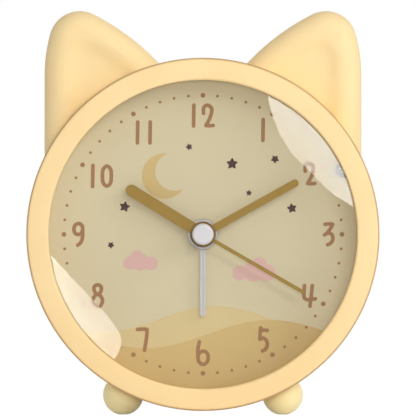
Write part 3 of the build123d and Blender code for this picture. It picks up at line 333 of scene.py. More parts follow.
def brushedGroup():
    # brushed metal: noise on the stretched place is the height, and that noise less a half, times the amount,
    # is added to the roughness and scales the colour
    group, source, sink = newGroup("brushedMetal",
        (("Colour", "Color", (0.8, 0.8, 0.8, 1)), ("Stretch", "Vector", (60, 4000, 4000)),
         ("Roughness", "Float", 0.3), ("Amount", "Float", 0.12)),
        (("Colour", "Color"), ("Roughness", "Float"), ("Height", "Float")))
    stretched = add(group, "ShaderNodeVectorMath", {"operation": "MULTIPLY"}, _0=objectPlace(group),
                    _1=source["Stretch"])
    lines = noise(group, "lines", 1.0, stretched.outputs[0])
    swing = calculate(group, "MULTIPLY", calculate(group, "SUBTRACT", lines, 0.5), source["Amount"])
    tint = add(group, "ShaderNodeVectorMath", {"operation": "SCALE"}, _0=source["Colour"],
               Scale=calculate(group, "ADD", swing, 1.0))
    feed(group, sink, Colour=tint.outputs[0], Roughness=calculate(group, "ADD", swing, source["Roughness"]),
         Height=lines)
    return group


groups = {"drift": driftGroup(), "skin": skinGroup(), "brushed": brushedGroup()}


def useGroup(tree, name, **values):
    return add(tree, "ShaderNodeGroup", {"node_tree": groups[name]}, **values).outputs


def newMaterial(name):
    material = bpy.data.materials.new(name)
    material.use_nodes = True
    return material, material.node_tree, material.node_tree.nodes["Principled BSDF"]


def madeMaterial(material):
    # a made material's tree, its shader and what feeds the shader's colour
    tree = material.node_tree
    shader = tree.nodes["Principled BSDF"]
    return tree, shader, shader.inputs["Base Color"].links[0].from_socket


def dress(material, *names):
    for name in names:
        for place in nodes[name].material_slots:
            place.material = material


# Plastics

plasticLook = {  # unless a plastic's own look says otherwise
    "driftScale": 45.0,
    "drift": 0.6,
    "grainScale": 2600.0,
    "grainHeight": (0.25, 0.02),  # strength, depth in millimetres
    "ior": 1.5,
    "soft": 0.0,  # share of the light that goes under the surface
    "softReach": (1.0, 0.7, 0.4),
    "softDepth": 1.5,
}
plastics = {
    "shellPlastic": {"colour": (253, 226, 171), "second": (250, 220, 162), "roughness": 0.46, "soft": 0.06,
                     "ior": 1.3, "on": ("front_shell", "rear_shell", "battery_door")},
    # paler than the shell plastic: a yellower tone, and painted light that makes up for the light the feet lack
    # under the body
    "footPlasticPaintedLight": {"colour": (255, 241, 190), "second": (254, 236, 182), "roughness": 0.42, "soft": 0.1,
                    "ior": 1.3, "on": ("right_foot", "left_foot")},
    "buttonPlastic": {"colour": (255, 250, 240), "second": (250, 240, 222), "roughness": 0.38, "soft": 0.1,
                      "on": ("light_button",)},
    "knobPlastic": {"colour": (250, 214, 156), "second": (246, 206, 144), "roughness": 0.42, "soft": 0.05,
                    "on": ("time_knob", "alarm_knob", "alarm_switch_slider")},
    "whitePlastic": {"colour": (232, 230, 222), "second": (224, 221, 212), "roughness": 0.5, "on": (
        "dial_carrier", "movement_front_plate", "middle_plate", "train_bridge", "coil_bobbin")},
    "darkPlastic": {"colour": (46, 46, 50), "second": (36, 36, 40), "roughness": 0.48, "on": (
        "light_switch", "movement_back_case", "alarm_switch_body")},
    "gearPlastic": {"colour": (236, 232, 220), "second": (226, 220, 204), "roughness": 0.36, "on": (
        "alarm_wheel", "hour_wheel", "minute_wheel", "time_setting_arbor", "alarm_setting_arbor",
        "centre_wheel", "third_wheel", "second_wheel", "intermediate_wheel")},
    "ferrite": {"colour": (62, 58, 56), "second": (48, 44, 44), "roughness": 0.6, "on": ("step_up_coil",)},
}
bezelLook = {
    "colour": (255, 224, 168),
    "second": (253, 218, 159),
    "roughness": 0.42,
    "soft": 0.05,
    "ior": 1.3,
    "rim": (56.85, 57.25),  # radius where the rim's painted shade starts and where it is full
    "rimShadeBack": (1.8, 2.2),  # depth where it starts to fade and where it has gone
    # colour of the painted shade on the rim, standing in for the shading of the edge-on roll
    "rimPaintedShade": (198, 158, 106),
}


def plastic(name, look):
    # drifting colour, grain as height, and a roughness that moves with the grain
    look = {**plasticLook, **look}
    material, tree, shader = newMaterial(name)
    tone = useGroup(tree, "drift", Colour=toLinear(look["colour"]), Second=toLinear(look["second"]),
                    Scale=look["driftScale"], Amount=look["drift"])
    skin = useGroup(tree, "skin", Grain_Scale=look["grainScale"], Roughness=look["roughness"])
    feed(tree, shader, Base_Color=tone["Colour"], Roughness=skin["Roughness"], IOR=look["ior"],
         Normal=bump(tree, skin["Height"], *look["grainHeight"]), Subsurface_Weight=look["soft"],
         Subsurface_Radius=look["softReach"], Subsurface_Scale=look["softDepth"] * millimetre)
    return material


def bezelMaterial(look):
    # the plastic, with painted shade on the roll's outer rim, where the surface turns edge-on: the share past a
    # radius times the share in front of a depth
    material = plastic("bezelPlastic", look)
    tree, shader, tone = madeMaterial(material)
    outside = spread(tree, fromAxis(tree), *inMetres(look["rim"]))
    inFront = spread(tree, placeAlong(tree, "Y"), *map(depthPlace, look["rimShadeBack"]), 1.0, 0.0)
    share = calculate(tree, "MULTIPLY", outside, inFront)
    feed(tree, shader, Base_Color=blended(tree, share, tone, toLinear(look["rimPaintedShade"])))
    return material


for name, look in plastics.items():
    dress(plastic(name, look), *look["on"])
dress(bezelMaterial(bezelLook), "bezel")
print("plastics dressed")


# Metals

metalLook = {  # unless a metal's own look says otherwise
    "stretch": (60, 4000, 4000),
    "amount": 0.15,
    "grainHeight": (0.15, 0.01),  # strength, depth in millimetres
    "metallic": 1.0,
}
metals = {
    "screwSteel": {"colour": (196, 196, 198), "roughness": 0.28,
                   "on": ("case_screws", "small_screws", "module_screws")},
    "springSteel": {"colour": (188, 190, 194), "roughness": 0.24, "on": (
        "button_spring", "battery_spring_contact", "battery_plate_contact", "quartz_crystal")},
    "brass": {"colour": (214, 176, 98), "roughness": 0.3, "on": ("cannon_pinion", "alarm_contact", "buzzer")},
    "magnetSteel": {"colour": (96, 96, 100), "roughness": 0.4, "on": ("rotor",)},
    "softIron": {"colour": (150, 148, 146), "roughness": 0.42, "on": ("stator",)},
    "copper": {"colour": (196, 116, 70), "roughness": 0.3, "stretch": (6000, 200, 200), "amount": 0.3,
               "on": ("coil_winding",)},
}
hubLook = {
    "gold": {"colour": (144, 113, 30), "roughness": 0.45, "metallic": 0.35, "amount": 0.1},
    "silver": {"colour": (196, 195, 197), "roughness": 0.36, "metallic": 0.5, "stretch": (4000, 4000, 60)},
    "shade": (124, 94, 36),  # painted shade on the gold in the gap close round the cap, standing in for the cap's shadow
    "gapShadeReach": (4.05, 4.45),  # where the shade starts to fade and where it has gone
    "cap": (212, 210, 212),
    "capRoughness": 0.14,
    "capMargin": 0.02,  # how far in front of its back the cap's own look starts
    # colour of the painted shade in the pressed groove, deeper than the lights make it
    "groove": (182, 181, 184),
    "grooveReach": (0.32, 0.44),  # from its middle, where its painted shade starts to fade and where it has gone
    "outline": (4.72, 4.86, 5.2),  # where the hub's painted edge shade starts, is full and stops
    "paintedEdgeShade": (156, 147, 134),
}


def metal(name, look):
    # one stretched noise moves brightness, roughness and height together
    look = {**metalLook, **look}
    material, tree, shader = newMaterial(name)
    brushed = useGroup(tree, "brushed", Colour=toLinear(look["colour"]), Roughness=look["roughness"],
                       Stretch=look["stretch"], Amount=look["amount"])
    feed(tree, shader, Base_Color=brushed["Colour"], Roughness=brushed["Roughness"], Metallic=look["metallic"],
         Normal=bump(tree, brushed["Height"], *look["grainHeight"]))
    return material


def goldHand(name, look):
    # gold, mixed with a painted shade, standing in for the cap's shadow, where the distance from the axis is
    # less than the gap's reach
    material = metal(name, look)
    tree, shader, gold = madeMaterial(material)
    inPaintedGapShade = spread(tree, fromAxis(tree), *inMetres(hubLook["gapShadeReach"]), 1.0, 0.0)
    feed(tree, shader, Base_Color=blended(tree, inPaintedGapShade, gold, toLinear(hubLook["shade"])))
    return material


def handAndCap(look):
    # gold, and white plastic where y is less than the cap's back: one mask mixes colour, roughness and metal
    material = goldHand("secondHandGold", look)
    tree, shader, gold = madeMaterial(material)
    rough = shader.inputs["Roughness"].links[0].from_socket
    capBack = depthPlace(clock["capBack"] - hubLook["capMargin"])
    isCap = calculate(tree, "LESS_THAN", placeAlong(tree, "Y"), capBack)
    roughness = add(tree, "ShaderNodeMix", Factor=isCap, _2=rough, _3=hubLook["capRoughness"])
    feed(tree, shader, Base_Color=blended(tree, isCap, gold, toLinear(hubLook["cap"])),
         Roughness=roughness.outputs[0],
         Metallic=calculate(tree, "MULTIPLY_ADD", isCap, -look["metallic"], look["metallic"]))
    return material


def silverHand(look):
    # silver, with painted shade along the pressed groove, where x is small and the place is past the hub,
    #     and painted shade at the hub's edge, between two distances from the axis
    material = metal("silverHand", look)
    tree, shader, silver = madeMaterial(material)
    start, full, stop = inMetres(hubLook["outline"])
    aside = calculate(tree, "ABSOLUTE", placeAlong(tree, "X"))
    inGrooveShade = spread(tree, aside, *inMetres(hubLook["grooveReach"]), 1.0, 0.0)
    pastHub = calculate(tree, "GREATER_THAN", fromAxis(tree), stop)
    groove = calculate(tree, "MULTIPLY", inGrooveShade, pastHub)
    grooved = blended(tree, groove, silver, toLinear(hubLook["groove"]))
    atEdge = spread(tree, fromAxis(tree), start, full)
    edge = calculate(tree, "MULTIPLY", atEdge, calculate(tree, "LESS_THAN", fromAxis(tree), stop))
    feed(tree, shader, Base_Color=blended(tree, edge, grooved, toLinear(hubLook["paintedEdgeShade"])))
    return material


for name, look in metals.items():
    dress(metal(name, look), *look["on"])
dress(goldHand("goldHand", hubLook["gold"]), "hour_hand", "minute_hand")
dress(handAndCap(hubLook["gold"]), "second_hand")
dress(silverHand(hubLook["silver"]), "alarm_hand")
print("metals dressed")


# Boards, cell and wires

boardLook = {
    "mask": (34, 92, 58),
    "track": (46, 118, 76),
    "trackScale": 700.0,
    "trackShare": 0.9,
    "weaveScale": 900.0,
    "weaveSkew": 0.4,
    "weaveHeight": (0.12, 0.02),  # strength, depth in millimetres
    "roughness": 0.35,
}
cellLook = {
    "jacket": (50, 52, 58),
    "band": (186, 140, 74),
    "steel": (200, 200, 202),
    "bandEdge": 12.0,  # x where the band starts, in millimetres
    "steelEdge": 23.9,  # and where the jacket ends
    "grainScale": 900.0,
    "roughness": 0.3,
}
wireLook = {
    "colours": {"battery_wires": (170, 44, 40), "led_wires": (225, 222, 214),
                "lamp_supply_wires": (188, 60, 48), "buzzer_wires": (40, 40, 44),
                "switch_wires": (48, 78, 140)},
    "shade": 0.85,  # how deep the sleeve's second tone is
    "roughness": 0.4,
}


def boardMaterial(look):
    # two greens that drift, and a wave as the height of the laminate's weave
    material, tree, shader = newMaterial("circuitBoard")
    tone = useGroup(tree, "drift", Colour=toLinear(look["mask"]), Second=toLinear(look["track"]),
                    Scale=look["trackScale"], Amount=look["trackShare"])
    weave = add(tree, "ShaderNodeTexWave", Vector=objectPlace(tree), Scale=look["weaveScale"],
                Distortion=look["weaveSkew"])
    feed(tree, shader, Base_Color=tone["Colour"], Roughness=look["roughness"],
         Normal=bump(tree, weave.outputs["Fac"], *look["weaveHeight"]))
    return material


def cellMaterial(look):
    # dark, then a band where x is past its edge, then bare steel where x is past the jacket
    material, tree, shader = newMaterial("cellJacket")
    place = placeAlong(tree, "X")
    inBand = calculate(tree, "GREATER_THAN", place, look["bandEdge"] * millimetre)
    bare = calculate(tree, "GREATER_THAN", place, look["steelEdge"] * millimetre)
    jacket = blended(tree, inBand, toLinear(look["jacket"]), toLinear(look["band"]))
    skin = useGroup(tree, "skin", Grain_Scale=look["grainScale"], Roughness=look["roughness"])
    feed(tree, shader, Base_Color=blended(tree, bare, jacket, toLinear(look["steel"])),
         Roughness=skin["Roughness"], Metallic=bare)
    return material


dress(boardMaterial(boardLook), "control_board", "led_board", "movement_board")
dress(cellMaterial(cellLook), "battery")
for wireName, colour in wireLook["colours"].items():
    second = deeper(colour, wireLook["shade"])
    sleeve = {"colour": colour, "second": second, "roughness": wireLook["roughness"]}
    dress(plastic(wireName + "Sleeve", sleeve), wireName)
print("inner parts dressed")

# Dial sheet and its print

paperLook = {
    "driftScale": 30.0,
    "drift": 0.6,
    "fibreScale": 3800.0,
    "fibreHeight": (0.15, 0.01),  # strength, depth in millimetres
    "shine": 0.3,
}
dialLook = {"colour": (209, 198, 163), "second": (204, 192, 156), "roughness": 0.62}
printLook = {
    "brown": (158, 116, 74),
    "tan": (205, 178, 118),
    "paleTan": (212, 192, 140),
    "dark": (70, 34, 34),
    "pink": (216, 176, 166),
    "shade": 0.94,  # how deep each ink's second tone is
    "roughness": 0.55,
    "film": 0.03,  # thickness of the ink, in millimetres
    "lift": {"farHills": 0.035, "sky": 0.04, "nearHills": 0.045, "figures": 0.05},  # in front of the sheet
    "layer": 0.012,  # how far each stroke of a digit is in front of the last
    "digitWidth": 1.22,
    "minuteDot": 0.47,
    "hourDot": 0.78,
    "dotRing": 45.3,
}


def paperMaterial(name, colour, second, roughness):
    # fine fibre noise as height and a slow drift of tone
    material, tree, shader = newMaterial(name)
    tone = useGroup(tree, "drift", Colour=toLinear(colour), Second=toLinear(second),
                    Scale=paperLook["driftScale"], Amount=paperLook["drift"])
    skin = useGroup(tree, "skin", Grain_Scale=paperLook["fibreScale"], Roughness=roughness)
    feed(tree, shader, Base_Color=tone["Colour"], Roughness=skin["Roughness"],
         Normal=bump(tree, skin["Height"], *paperLook["fibreHeight"]), Specular_IOR_Level=paperLook["shine"])
    return material


dress(paperMaterial("dialCard", **dialLook), "dial")

# Centre lines of the digits, in millimetres from the middle of each: lists of (points, closed)
digitLines = {
    "0": [([(0, 3.25), (-1.2, 2.2), (-1.45, 0), (-1.2, -2.2), (0, -3.25), (1.2, -2.2), (1.45, 0),
            (1.2, 2.2)], True)],
    "1": [([(0.05, 3.4), (0, 0), (-0.05, -3.4)], False)],
    "2": [([(-1.55, 0.75), (-1.5, 2.5), (-0.35, 3.4), (1.05, 2.4), (0.95, 0.5), (0.15, -1.6),
            (-0.75, -3.15)], False),
          ([(-0.75, -3.25), (0.4, -3.3), (1.6, -3.2)], False)],
    "3": [([(-1.3, 3.15), (0.2, 3.3), (1.15, 3.2)], False), ([(1.2, 3.15), (0.4, 1.7), (-0.6, 0.35)], False),
          ([(-1.45, -0.25), (-0.3, 0.3), (0.95, -0.2), (1.25, -1.7), (0.5, -3.0), (-0.45, -3.5)], False)],
    "4": [([(-1.7, 3.3), (-1.85, 1.2), (-1.75, -0.7), (-0.9, -1.25), (0.4, -1.2), (1.85, -1.0)], False),
          ([(0.85, 3.3), (0.5, 0), (0.1, -3.4)], False)],
    "5": [([(-0.95, 3.8), (-1.15, 2.2), (-1.2, 0.1)], False), ([(-0.9, 3.0), (0.3, 3.05), (1.2, 3.0)], False),
          ([(-1.15, 0.1), (-0.1, 0.5), (1.0, -0.5), (1.15, -1.9), (0.6, -3.1), (-0.4, -3.7)], False)],
    "6": [([(-1.15, 3.75), (-1.65, 1.2), (-1.65, -1.1)], False),
          ([(-1.62, -1.2), (-1.0, 0.25), (0.2, 0.75), (1.35, 0.1), (1.75, -1.4), (1.2, -3.0), (0, -3.6),
            (-1.15, -2.9)], True)],
    "7": [([(-1.65, 3.3), (0, 3.4), (1.35, 3.35)], False), ([(1.5, 3.2), (1.3, 0.5), (0.65, -3.5)], False)],
    "8": [([(0, 3.45), (-1.05, 2.9), (-1.2, 1.9), (-0.7, 0.8), (0, 0.35), (0.75, 0.8), (1.2, 1.9),
            (1.05, 2.9)], True),
          ([(0, 0.35), (-1.1, -0.4), (-1.6, -1.7), (-1.0, -3.2), (0, -3.55), (1.05, -3.2), (1.6, -1.7),
            (1.1, -0.4)], True)],
    "9": [([(0.1, 3.5), (-1.0, 3.0), (-1.45, 1.7), (-1.0, 0.3), (0, -0.05), (1.0, 0.4), (1.4, 1.8),
            (1.1, 3.0)], True),
          ([(1.4, 1.9), (1.4, -0.6), (0.9, -2.5), (-0.2, -3.55)], False)],
}
# Where each digit stands, in millimetres from the dial's centre
digitPlaces = [
    ("1", -3.0, 38.7), ("2", 1.75, 38.7), ("1", 19.6, 34.0), ("2", 34.9, 19.8), ("3", 41.1, 0.1),
    ("4", 34.8, -20.0), ("5", 19.8, -34.3), ("6", 0.0, -38.8), ("7", -19.7, -34.3), ("8", -34.3, -19.9),
    ("9", -40.6, 0.0), ("1", -35.9, 19.0), ("0", -31.3, 19.0), ("1", -21.3, 33.2), ("1", -17.2, 33.2),
]


def inkDepth(name):
    # the sheet's front less the ink's lift
    return clock["dialFront"] - printLook["lift"][name]


def digitGrids():
    # every centre line moved to its digit's place and carried out to the stroke's width, each a hair in front
    return [stroke(np.array(points) + (x, z), printLook["digitWidth"],
                   inkDepth("figures") - printLook["layer"] * layer, closed)
            for label, x, z in digitPlaces for layer, (points, closed) in enumerate(digitLines[label])]


def dotGrids():
    # sixty dots on a ring, every fifth one larger: sine and cosine of six degrees each
    angle = np.radians(np.arange(60) * 6)
    radius = np.where(np.arange(60) % 5 == 0, printLook["hourDot"], printLook["minuteDot"])
    centres = printLook["dotRing"] * np.stack((np.sin(angle), np.cos(angle)), -1)
    return [patch(centre, inkDepth("figures"), lambda turn, size=size: np.full(turn.shape, size), rings=1,
                  count=14) for centre, size in zip(centres, radius)]


def hillGrid(depth, crest, count=90):
    # from the dial's edge circle up to a crest line: straight blends between two edges of equal count
    x = np.linspace(-sky["hillReach"], sky["hillReach"], count)
    rim = -np.sqrt(np.maximum(clock["dialRadius"] ** 2 - sky["hillInset"] - x ** 2, 0))
    top = np.maximum(crest(x), rim)
    return band(np.stack((x, rim), -1), np.stack((x, top), -1), depth, rings=6)


def moonGrid(centre, outer, bite, shift, tilt, depth, count=60):
    # between the outer arc and the arc of a second circle that bites into it, both from tip to tip
    reach = (outer ** 2 - bite ** 2 + shift ** 2) / (2 * shift)
    tip = np.arccos(reach / outer)
    innerTip = np.arctan2(outer * np.sin(tip), reach - shift)
    share = np.linspace(0, 1, count)
    outerAngle, innerAngle = (start + (2 * np.pi - 2 * start) * share for start in (tip, innerTip))
    outside = np.stack((outer * np.cos(outerAngle), outer * np.sin(outerAngle)), -1)
    inside = np.stack((shift + bite * np.cos(innerAngle), bite * np.sin(innerAngle)), -1)
    turn = np.array(((np.cos(tilt), -np.sin(tilt)), (np.sin(tilt), np.cos(tilt))))
    return band(outside @ turn.T + centre, inside @ turn.T + centre, depth, rings=4)


def starRadius(size, turn):
    # the valley's share of the size, and the rest of it times a power of the half risen cosine of the angle
    valley, points, sharpness = sky["starShape"]
    return lambda angle: size * (
        valley + (1 - valley) * ((1 + np.cos(points * (angle - turn))) / 2) ** sharpness)


def cloudRadius(puffs):
    # farthest reach of several circles seen from the cloud's middle along each angle
    def radius(angle):
        direction = np.stack((np.cos(angle), np.sin(angle)), -1)
        far = np.zeros(angle.shape)
        for x, z, size in puffs:
            along = direction @ np.array((x, z))
            under = size ** 2 - (x ** 2 + z ** 2 - along ** 2)
            reach = np.where(under > 0, along + np.sqrt(np.maximum(under, 0)), 0)
            far = np.maximum(far, reach)
        return far
    return radius


sky = {
    "hillReach": 48,
    "hillInset": 1,  # off the radius squared, to stay on the sheet
    "farHill": lambda x: -27.5 + 4.2 * np.sin((x + 14) / 11.5),
    "nearHill": lambda x: -32.5 + 4.6 * np.cos((x - 22) / 13.0),
    "moon": {"centre": (-12.5, 19.0), "outer": 7.4, "bite": 6.3, "shift": 3.6, "tilt": radians(24)},
    # valley's share of the size, points, sharpness; then each star's x, z, size and turn
    "starShape": (0.62, 5, 1.6),
    "stars": ((9.5, 23.0, 1.875, 0.3), (23.5, 24.5, 1.375, 0.9), (-25.5, 9.0, 1.75, 0.1),
              (29.0, 8.5, 1.625, 0.5), (-4.5, 28.5, 1.125, 0.7), (15.0, 13.5, 1.0, 0.2),
              (-30.0, -3.5, 1.125, 1.0)),
    # each cloud's middle, and the x, z and radius of its puffs from there
    "clouds": (((16.5, -12.0), ((0, 0, 3.4), (-4.4, -0.6, 2.5), (4.3, -0.5, 2.8), (1.8, 1.9, 2.6))),
               ((-20.5, -9.0), ((0, 0, 2.8), (-3.4, -0.4, 2.1), (3.6, -0.5, 2.2), (-1.0, 1.6, 2.2)))),
}


def printPiece(name, grids, colour, closed=False):
    colour = printLook[colour]
    piece = surface(name, grids, closed=closed, thickness=printLook["film"], towards=(0, -1, 0),
                    flat=True)
    ink = paperMaterial(name + "Ink", colour, deeper(colour, printLook["shade"]), printLook["roughness"])
    piece.data.materials.append(ink)


printPiece("printFarHills", [hillGrid(inkDepth("farHills"), sky["farHill"])], "paleTan")
printPiece("printNearHills", [hillGrid(inkDepth("nearHills"), sky["nearHill"])], "tan")
printPiece("printMoon", [moonGrid(depth=inkDepth("sky"), **sky["moon"])], "tan")
printPiece("printStars", [patch((x, z), inkDepth("sky"), starRadius(size, turn), count=50)
                          for x, z, size, turn in sky["stars"]], "dark", closed=True)
printPiece("printClouds", [patch(centre, inkDepth("sky"), cloudRadius(puffs), rings=3, count=140)
                           for centre, puffs in sky["clouds"]], "pink", closed=True)
printPiece("printDots", dotGrids(), "brown", closed=True)
printPiece("printDigits", digitGrids(), "brown")
print("dial printed")


# Lens and lamp, with the parts inside the lamp

lensLook = {
    "roughness": 0.0,
    "ior": 1.25,
    "rippleScale": 40.0,
    "rippleHeight": (0.002, 0.05),  # strength, depth in millimetres
    "axis": (0, 0),
    "reach": 53.3,  # rings: share of the reach, and the tint there
    "rings": ((0.0, (255, 255, 255)), (0.93, (255, 255, 255)), (1.0, (238, 242, 240))),
}
epoxyLook = {
    "roughness": 0.04,
    "ior": 1.12,
    "rippleScale": 300.0,
    "rippleHeight": (0.02, 0.05),
    "axis": clock["ledPlace"],
    "reach": 2.9,
    # the rings are painted light and shade: they stand in for the light and dark bands that the dome's
    # refraction and reflection give
    "rings": ((0.0, (255, 255, 255)), (0.15, (252, 252, 254)), (0.21, (206, 210, 218)),
              (0.34, (206, 210, 218)), (0.4, (178, 184, 196)), (0.46, (186, 191, 202)),
              (0.52, (244, 246, 249)), (0.7, (244, 246, 249)), (0.75, (150, 158, 178)),
              (0.84, (146, 154, 176)), (0.9, (226, 229, 235))),
}
lampLook = {  # profiles of radius and depth behind the lamp's tip
    "cup": ((0.0, 3.35), (0.5, 3.35), (0.62, 3.2), (1.3, 2.55), (1.5, 2.5), (1.5, 3.1), (0.9, 3.9), (0.0, 3.9)),
    "phosphor": ((0.0, 2.85), (0.55, 2.9), (0.9, 3.05), (0.6, 3.22), (0.0, 3.3)),
    "collar": ((1.75, 3.4), (2.1, 3.3), (2.25, 3.5), (2.25, 4.3), (1.75, 4.3), (1.75, 3.4)),
    "cupSteel": {"colour": (226, 228, 232), "roughness": 0.3, "stretch": (900, 900, 900), "metallic": 0.3},
    "phosphorLook": {"colour": (238, 236, 226), "second": (230, 226, 212), "roughness": 0.5},
    "collarLook": {"colour": (214, 218, 226), "second": (204, 208, 218), "roughness": 0.4},
}


def clearMaterial(name, look):
    # slow noise ripples the surface a little, and the tint follows rings of distance from an axis;
    # shadow and diffuse rays pass straight through, so that what lies behind is lit evenly
    material, tree, shader = newMaterial(name)
    slow = noise(tree, "ripple", look["rippleScale"], objectPlace(tree))
    share = spread(tree, fromAxis(tree, look["axis"]), 0.0, look["reach"] * millimetre)
    ramp = add(tree, "ShaderNodeValToRGB", Fac=share)
    steps = ramp.color_ramp.elements
    for place, colour in look["rings"][2:]:
        steps.new(place)
    for step, (place, colour) in zip(steps, look["rings"]):
        step.position, step.color = place, toLinear(colour)
    feed(tree, shader, Base_Color=ramp.outputs["Color"], Roughness=look["roughness"], IOR=look["ior"],
         Transmission_Weight=1.0, Normal=bump(tree, slow, *look["rippleHeight"]))
    path = add(tree, "ShaderNodeLightPath").outputs
    through = calculate(tree, "MAXIMUM", path["Is Shadow Ray"], path["Is Diffuse Ray"])
    mix = mixShaders(tree, through, shader, add(tree, "ShaderNodeBsdfTransparent"))
    feed(tree, tree.nodes["Material Output"], Surface=mix.outputs[0])
    return material


def lensBow():
    # radius of the sphere through the crown and the rim: (edge squared + rise squared) / (2 rise)
    edge, rise = clock["lensEdge"], clock["lensSeat"] - clock["lensCrown"]
    return (edge ** 2 + rise ** 2) / (2 * rise)


def lensProfile(rings=48):
    # depth of the dome = crown + bow - root of (bow squared - radius squared), then the rim, then both behind
    edge, seat, bend = clock["lensEdge"], clock["lensSeat"], clock["lensBend"]
    radius = np.append(np.linspace(0, edge - bend, rings), edge)
    front = clock["lensCrown"] + lensBow() - np.sqrt(lensBow() ** 2 - radius ** 2)
    dome = np.stack((radius, front), -1)
    rim = np.array([(edge + bend, seat), (clock["lensRadius"], seat)])
    behind = (0, clock["lensThickness"])
    return np.vstack((dome, rim, rim[::-1] + behind, dome[::-1] + behind))


def lampPiece(name, part, material):
    # a profile carried round the lamp's own axis
    profile = np.array(lampLook[part]) + (0, clock["ledTip"])
    piece = surface(name, [turned(profile, clock["ledPlace"], count=40)], closed=True)
    piece.data.materials.append(material)


# a finer mesh of the same lens, so that nothing behind it looks bent
lensPiece = surface("lensWindow", [turned(lensProfile(), count=160)], closed=True)
lensPiece.data.materials.append(clearMaterial("clearLens", lensLook))
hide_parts("lens")
# the epoxy's tint rings are painted bands of light and shade, standing in for the dome's refraction
dress(clearMaterial("clearEpoxy", epoxyLook), "led")
lampPiece("lampCup", "cup", metal("lampCupSteel", lampLook["cupSteel"]))
lampPiece("lampPhosphor", "phosphor", plastic("lampPhosphor", lampLook["phosphorLook"]))
lampPiece("lampCollar", "collar", plastic("lampCollar", lampLook["collarLook"]))
print("lens and lamp dressed")


# Raised marks: bell, dial and arrows at the knobs, line and ring at the switch, sun on the light button

marks = {
    "height": 0.4,  # how far they stand up
    "root": 0.05,  # how far they go into the wall
    "layer": 0.004,  # how far each stroke of a sign is above the last
    "width": 0.85,
    "bell": (-17.86, 22.5),
    "dialSign": (17.92, 22.5),
    "arrowRadius": 10.4,
    # where an arc starts and ends, in degrees, and each head's angle and way
    "alarmArrow": (215, 305, ((305, 1),)),
    "timeArrow": (225, 315, ((225, -1), (315, 1))),
    "arrowHead": (2.4, 1.8, 0.62),  # length, how far the tip is past the arc, half width as a share of length
    "bellLines": [([(-2.9, -1.9), (-2.3, -1.1), (-2.0, 0.6), (-1.4, 2.2), (0, 2.9), (1.4, 2.2), (2.0, 0.6),
                    (2.3, -1.1), (2.9, -1.9)], False), ([(-2.9, -1.9), (0, -1.95), (2.9, -1.9)], False),
                  ([(-0.5, -3.0), (0, -3.2), (0.5, -3.0)], False)],
    "dialRadius": 2.9,
    "dialHands": [([(0, 2.0), (0, 1.0), (0, 0)], False), ([(0, 0), (-0.7, -0.5), (-1.4, -0.9)], False)],
    "line": (-31.8, 2.2),
    "lineHalf": 1.5,
    "ring": (-31.8, -6.2),
    "ringRadius": 1.4,
    "sunRadius": 1.35,
    "sunRays": 8,
    "sunRay": (2.1, 2.6, 3.1),  # how far out a ray starts, has its middle and ends
    "sunWidth": 0.55,
    "sunHeight": 0.25,
    "buttonSink": 0.12,
    "look": {"colour": (226, 184, 124), "second": (219, 176, 114), "roughness": 0.5},  # deeper, to be read
}
markPlastic = plastic("markPlastic", marks["look"])


def circleLine(centre, radius, start=0.0, end=360.0, count=24):
    # points at even angles: centre plus radius times cosine and sine
    angle = np.radians(np.linspace(start, end, count, endpoint=end - start < 360))
    return np.stack((centre[0] + radius * np.cos(angle), centre[1] + radius * np.sin(angle)), -1)


def arrowHead(arcEnd, direction, depth):
    # a triangle: from the base's two ends straight to the tip
    size, past, share = marks["arrowHead"]
    tip = arcEnd + direction * past
    side = np.array((-direction[1], direction[0])) * size * share
    base = tip - direction * size
    return band(np.stack((base - side, base, base + side)), np.repeat(tip[None], 3, 0), depth, rings=3)


def arrowRound(centre, depth, start, end, heads):
    # an arc with a head at each chosen end, pointing along the arc's tangent
    radius = marks["arrowRadius"]
    grids = [stroke(circleLine(centre, radius, start, end), marks["width"], depth)]
    for angle, turn in heads:
        outwards = np.array((np.cos(radians(angle)), np.sin(radians(angle))))
        along = np.array((-outwards[1], outwards[0])) * turn
        grids.append(arrowHead(centre + radius * outwards, along, depth + marks["layer"]))
    return grids


def markPiece(name, grids):
    piece = surface(name, grids, thickness=marks["height"] + marks["root"], towards=(0, 1, 0),
                    flat=True)
    piece.data.materials.append(markPlastic)


def strokes(centre, depth, lines):
    # every line of a sign moved to its centre and carried out to the marks' width
    return [stroke(np.array(points) + centre, marks["width"], depth + marks["layer"] * layer, closed)
            for layer, (points, closed) in enumerate(lines)]


def sunGrids():
    # a ring and rays drawn flat, then lifted on to the button: z is the root of (radius squared - x squared)
    outline = [(circleLine((0, 0), marks["sunRadius"]), True)]
    for turn in np.arange(marks["sunRays"]) * 2 * np.pi / marks["sunRays"]:
        outline.append((np.outer(marks["sunRay"], (np.cos(turn), np.sin(turn))), False))
    grids = []
    for points, closed in outline:
        flat = stroke(points, marks["sunWidth"], 0.0, closed, count=24)
        x, across = flat[..., 0], flat[..., 2]
        rise = np.sqrt((clock["buttonTop"] + marks["buttonSink"]) ** 2 - x ** 2)
        grids.append(np.stack((x, clock["buttonDepth"] + across, rise), -1))
    return grids


top = clock["caseBack"] + marks["height"]
half = marks["lineHalf"]
markPiece("markBell", strokes(marks["bell"], top, marks["bellLines"]))
dialLines = [(circleLine((0, 0), marks["dialRadius"]), True), *marks["dialHands"]]
markPiece("markDial", strokes(marks["dialSign"], top, dialLines))
markPiece("markAlarmArrow", arrowRound(clock["alarmKnob"], top, *marks["alarmArrow"]))
markPiece("markTimeArrow", arrowRound(clock["timeKnob"], top, *marks["timeArrow"]))
markPiece("markOn", strokes(marks["line"], top, [([(0, half), (0, 0), (0, -half)], False)]))
markPiece("markOff", strokes(marks["ring"], top, [(circleLine((0, 0), marks["ringRadius"]), True)]))
sun = surface("markSun", sunGrids(), body="light_button", thickness=marks["sunHeight"],
              towards=(0, 0, 1), flat=True)
sun.data.materials.append(bpy.data.materials["knobPlastic"])
print("marks raised")


# Stage: floor, world, lights, window reflections and the camera

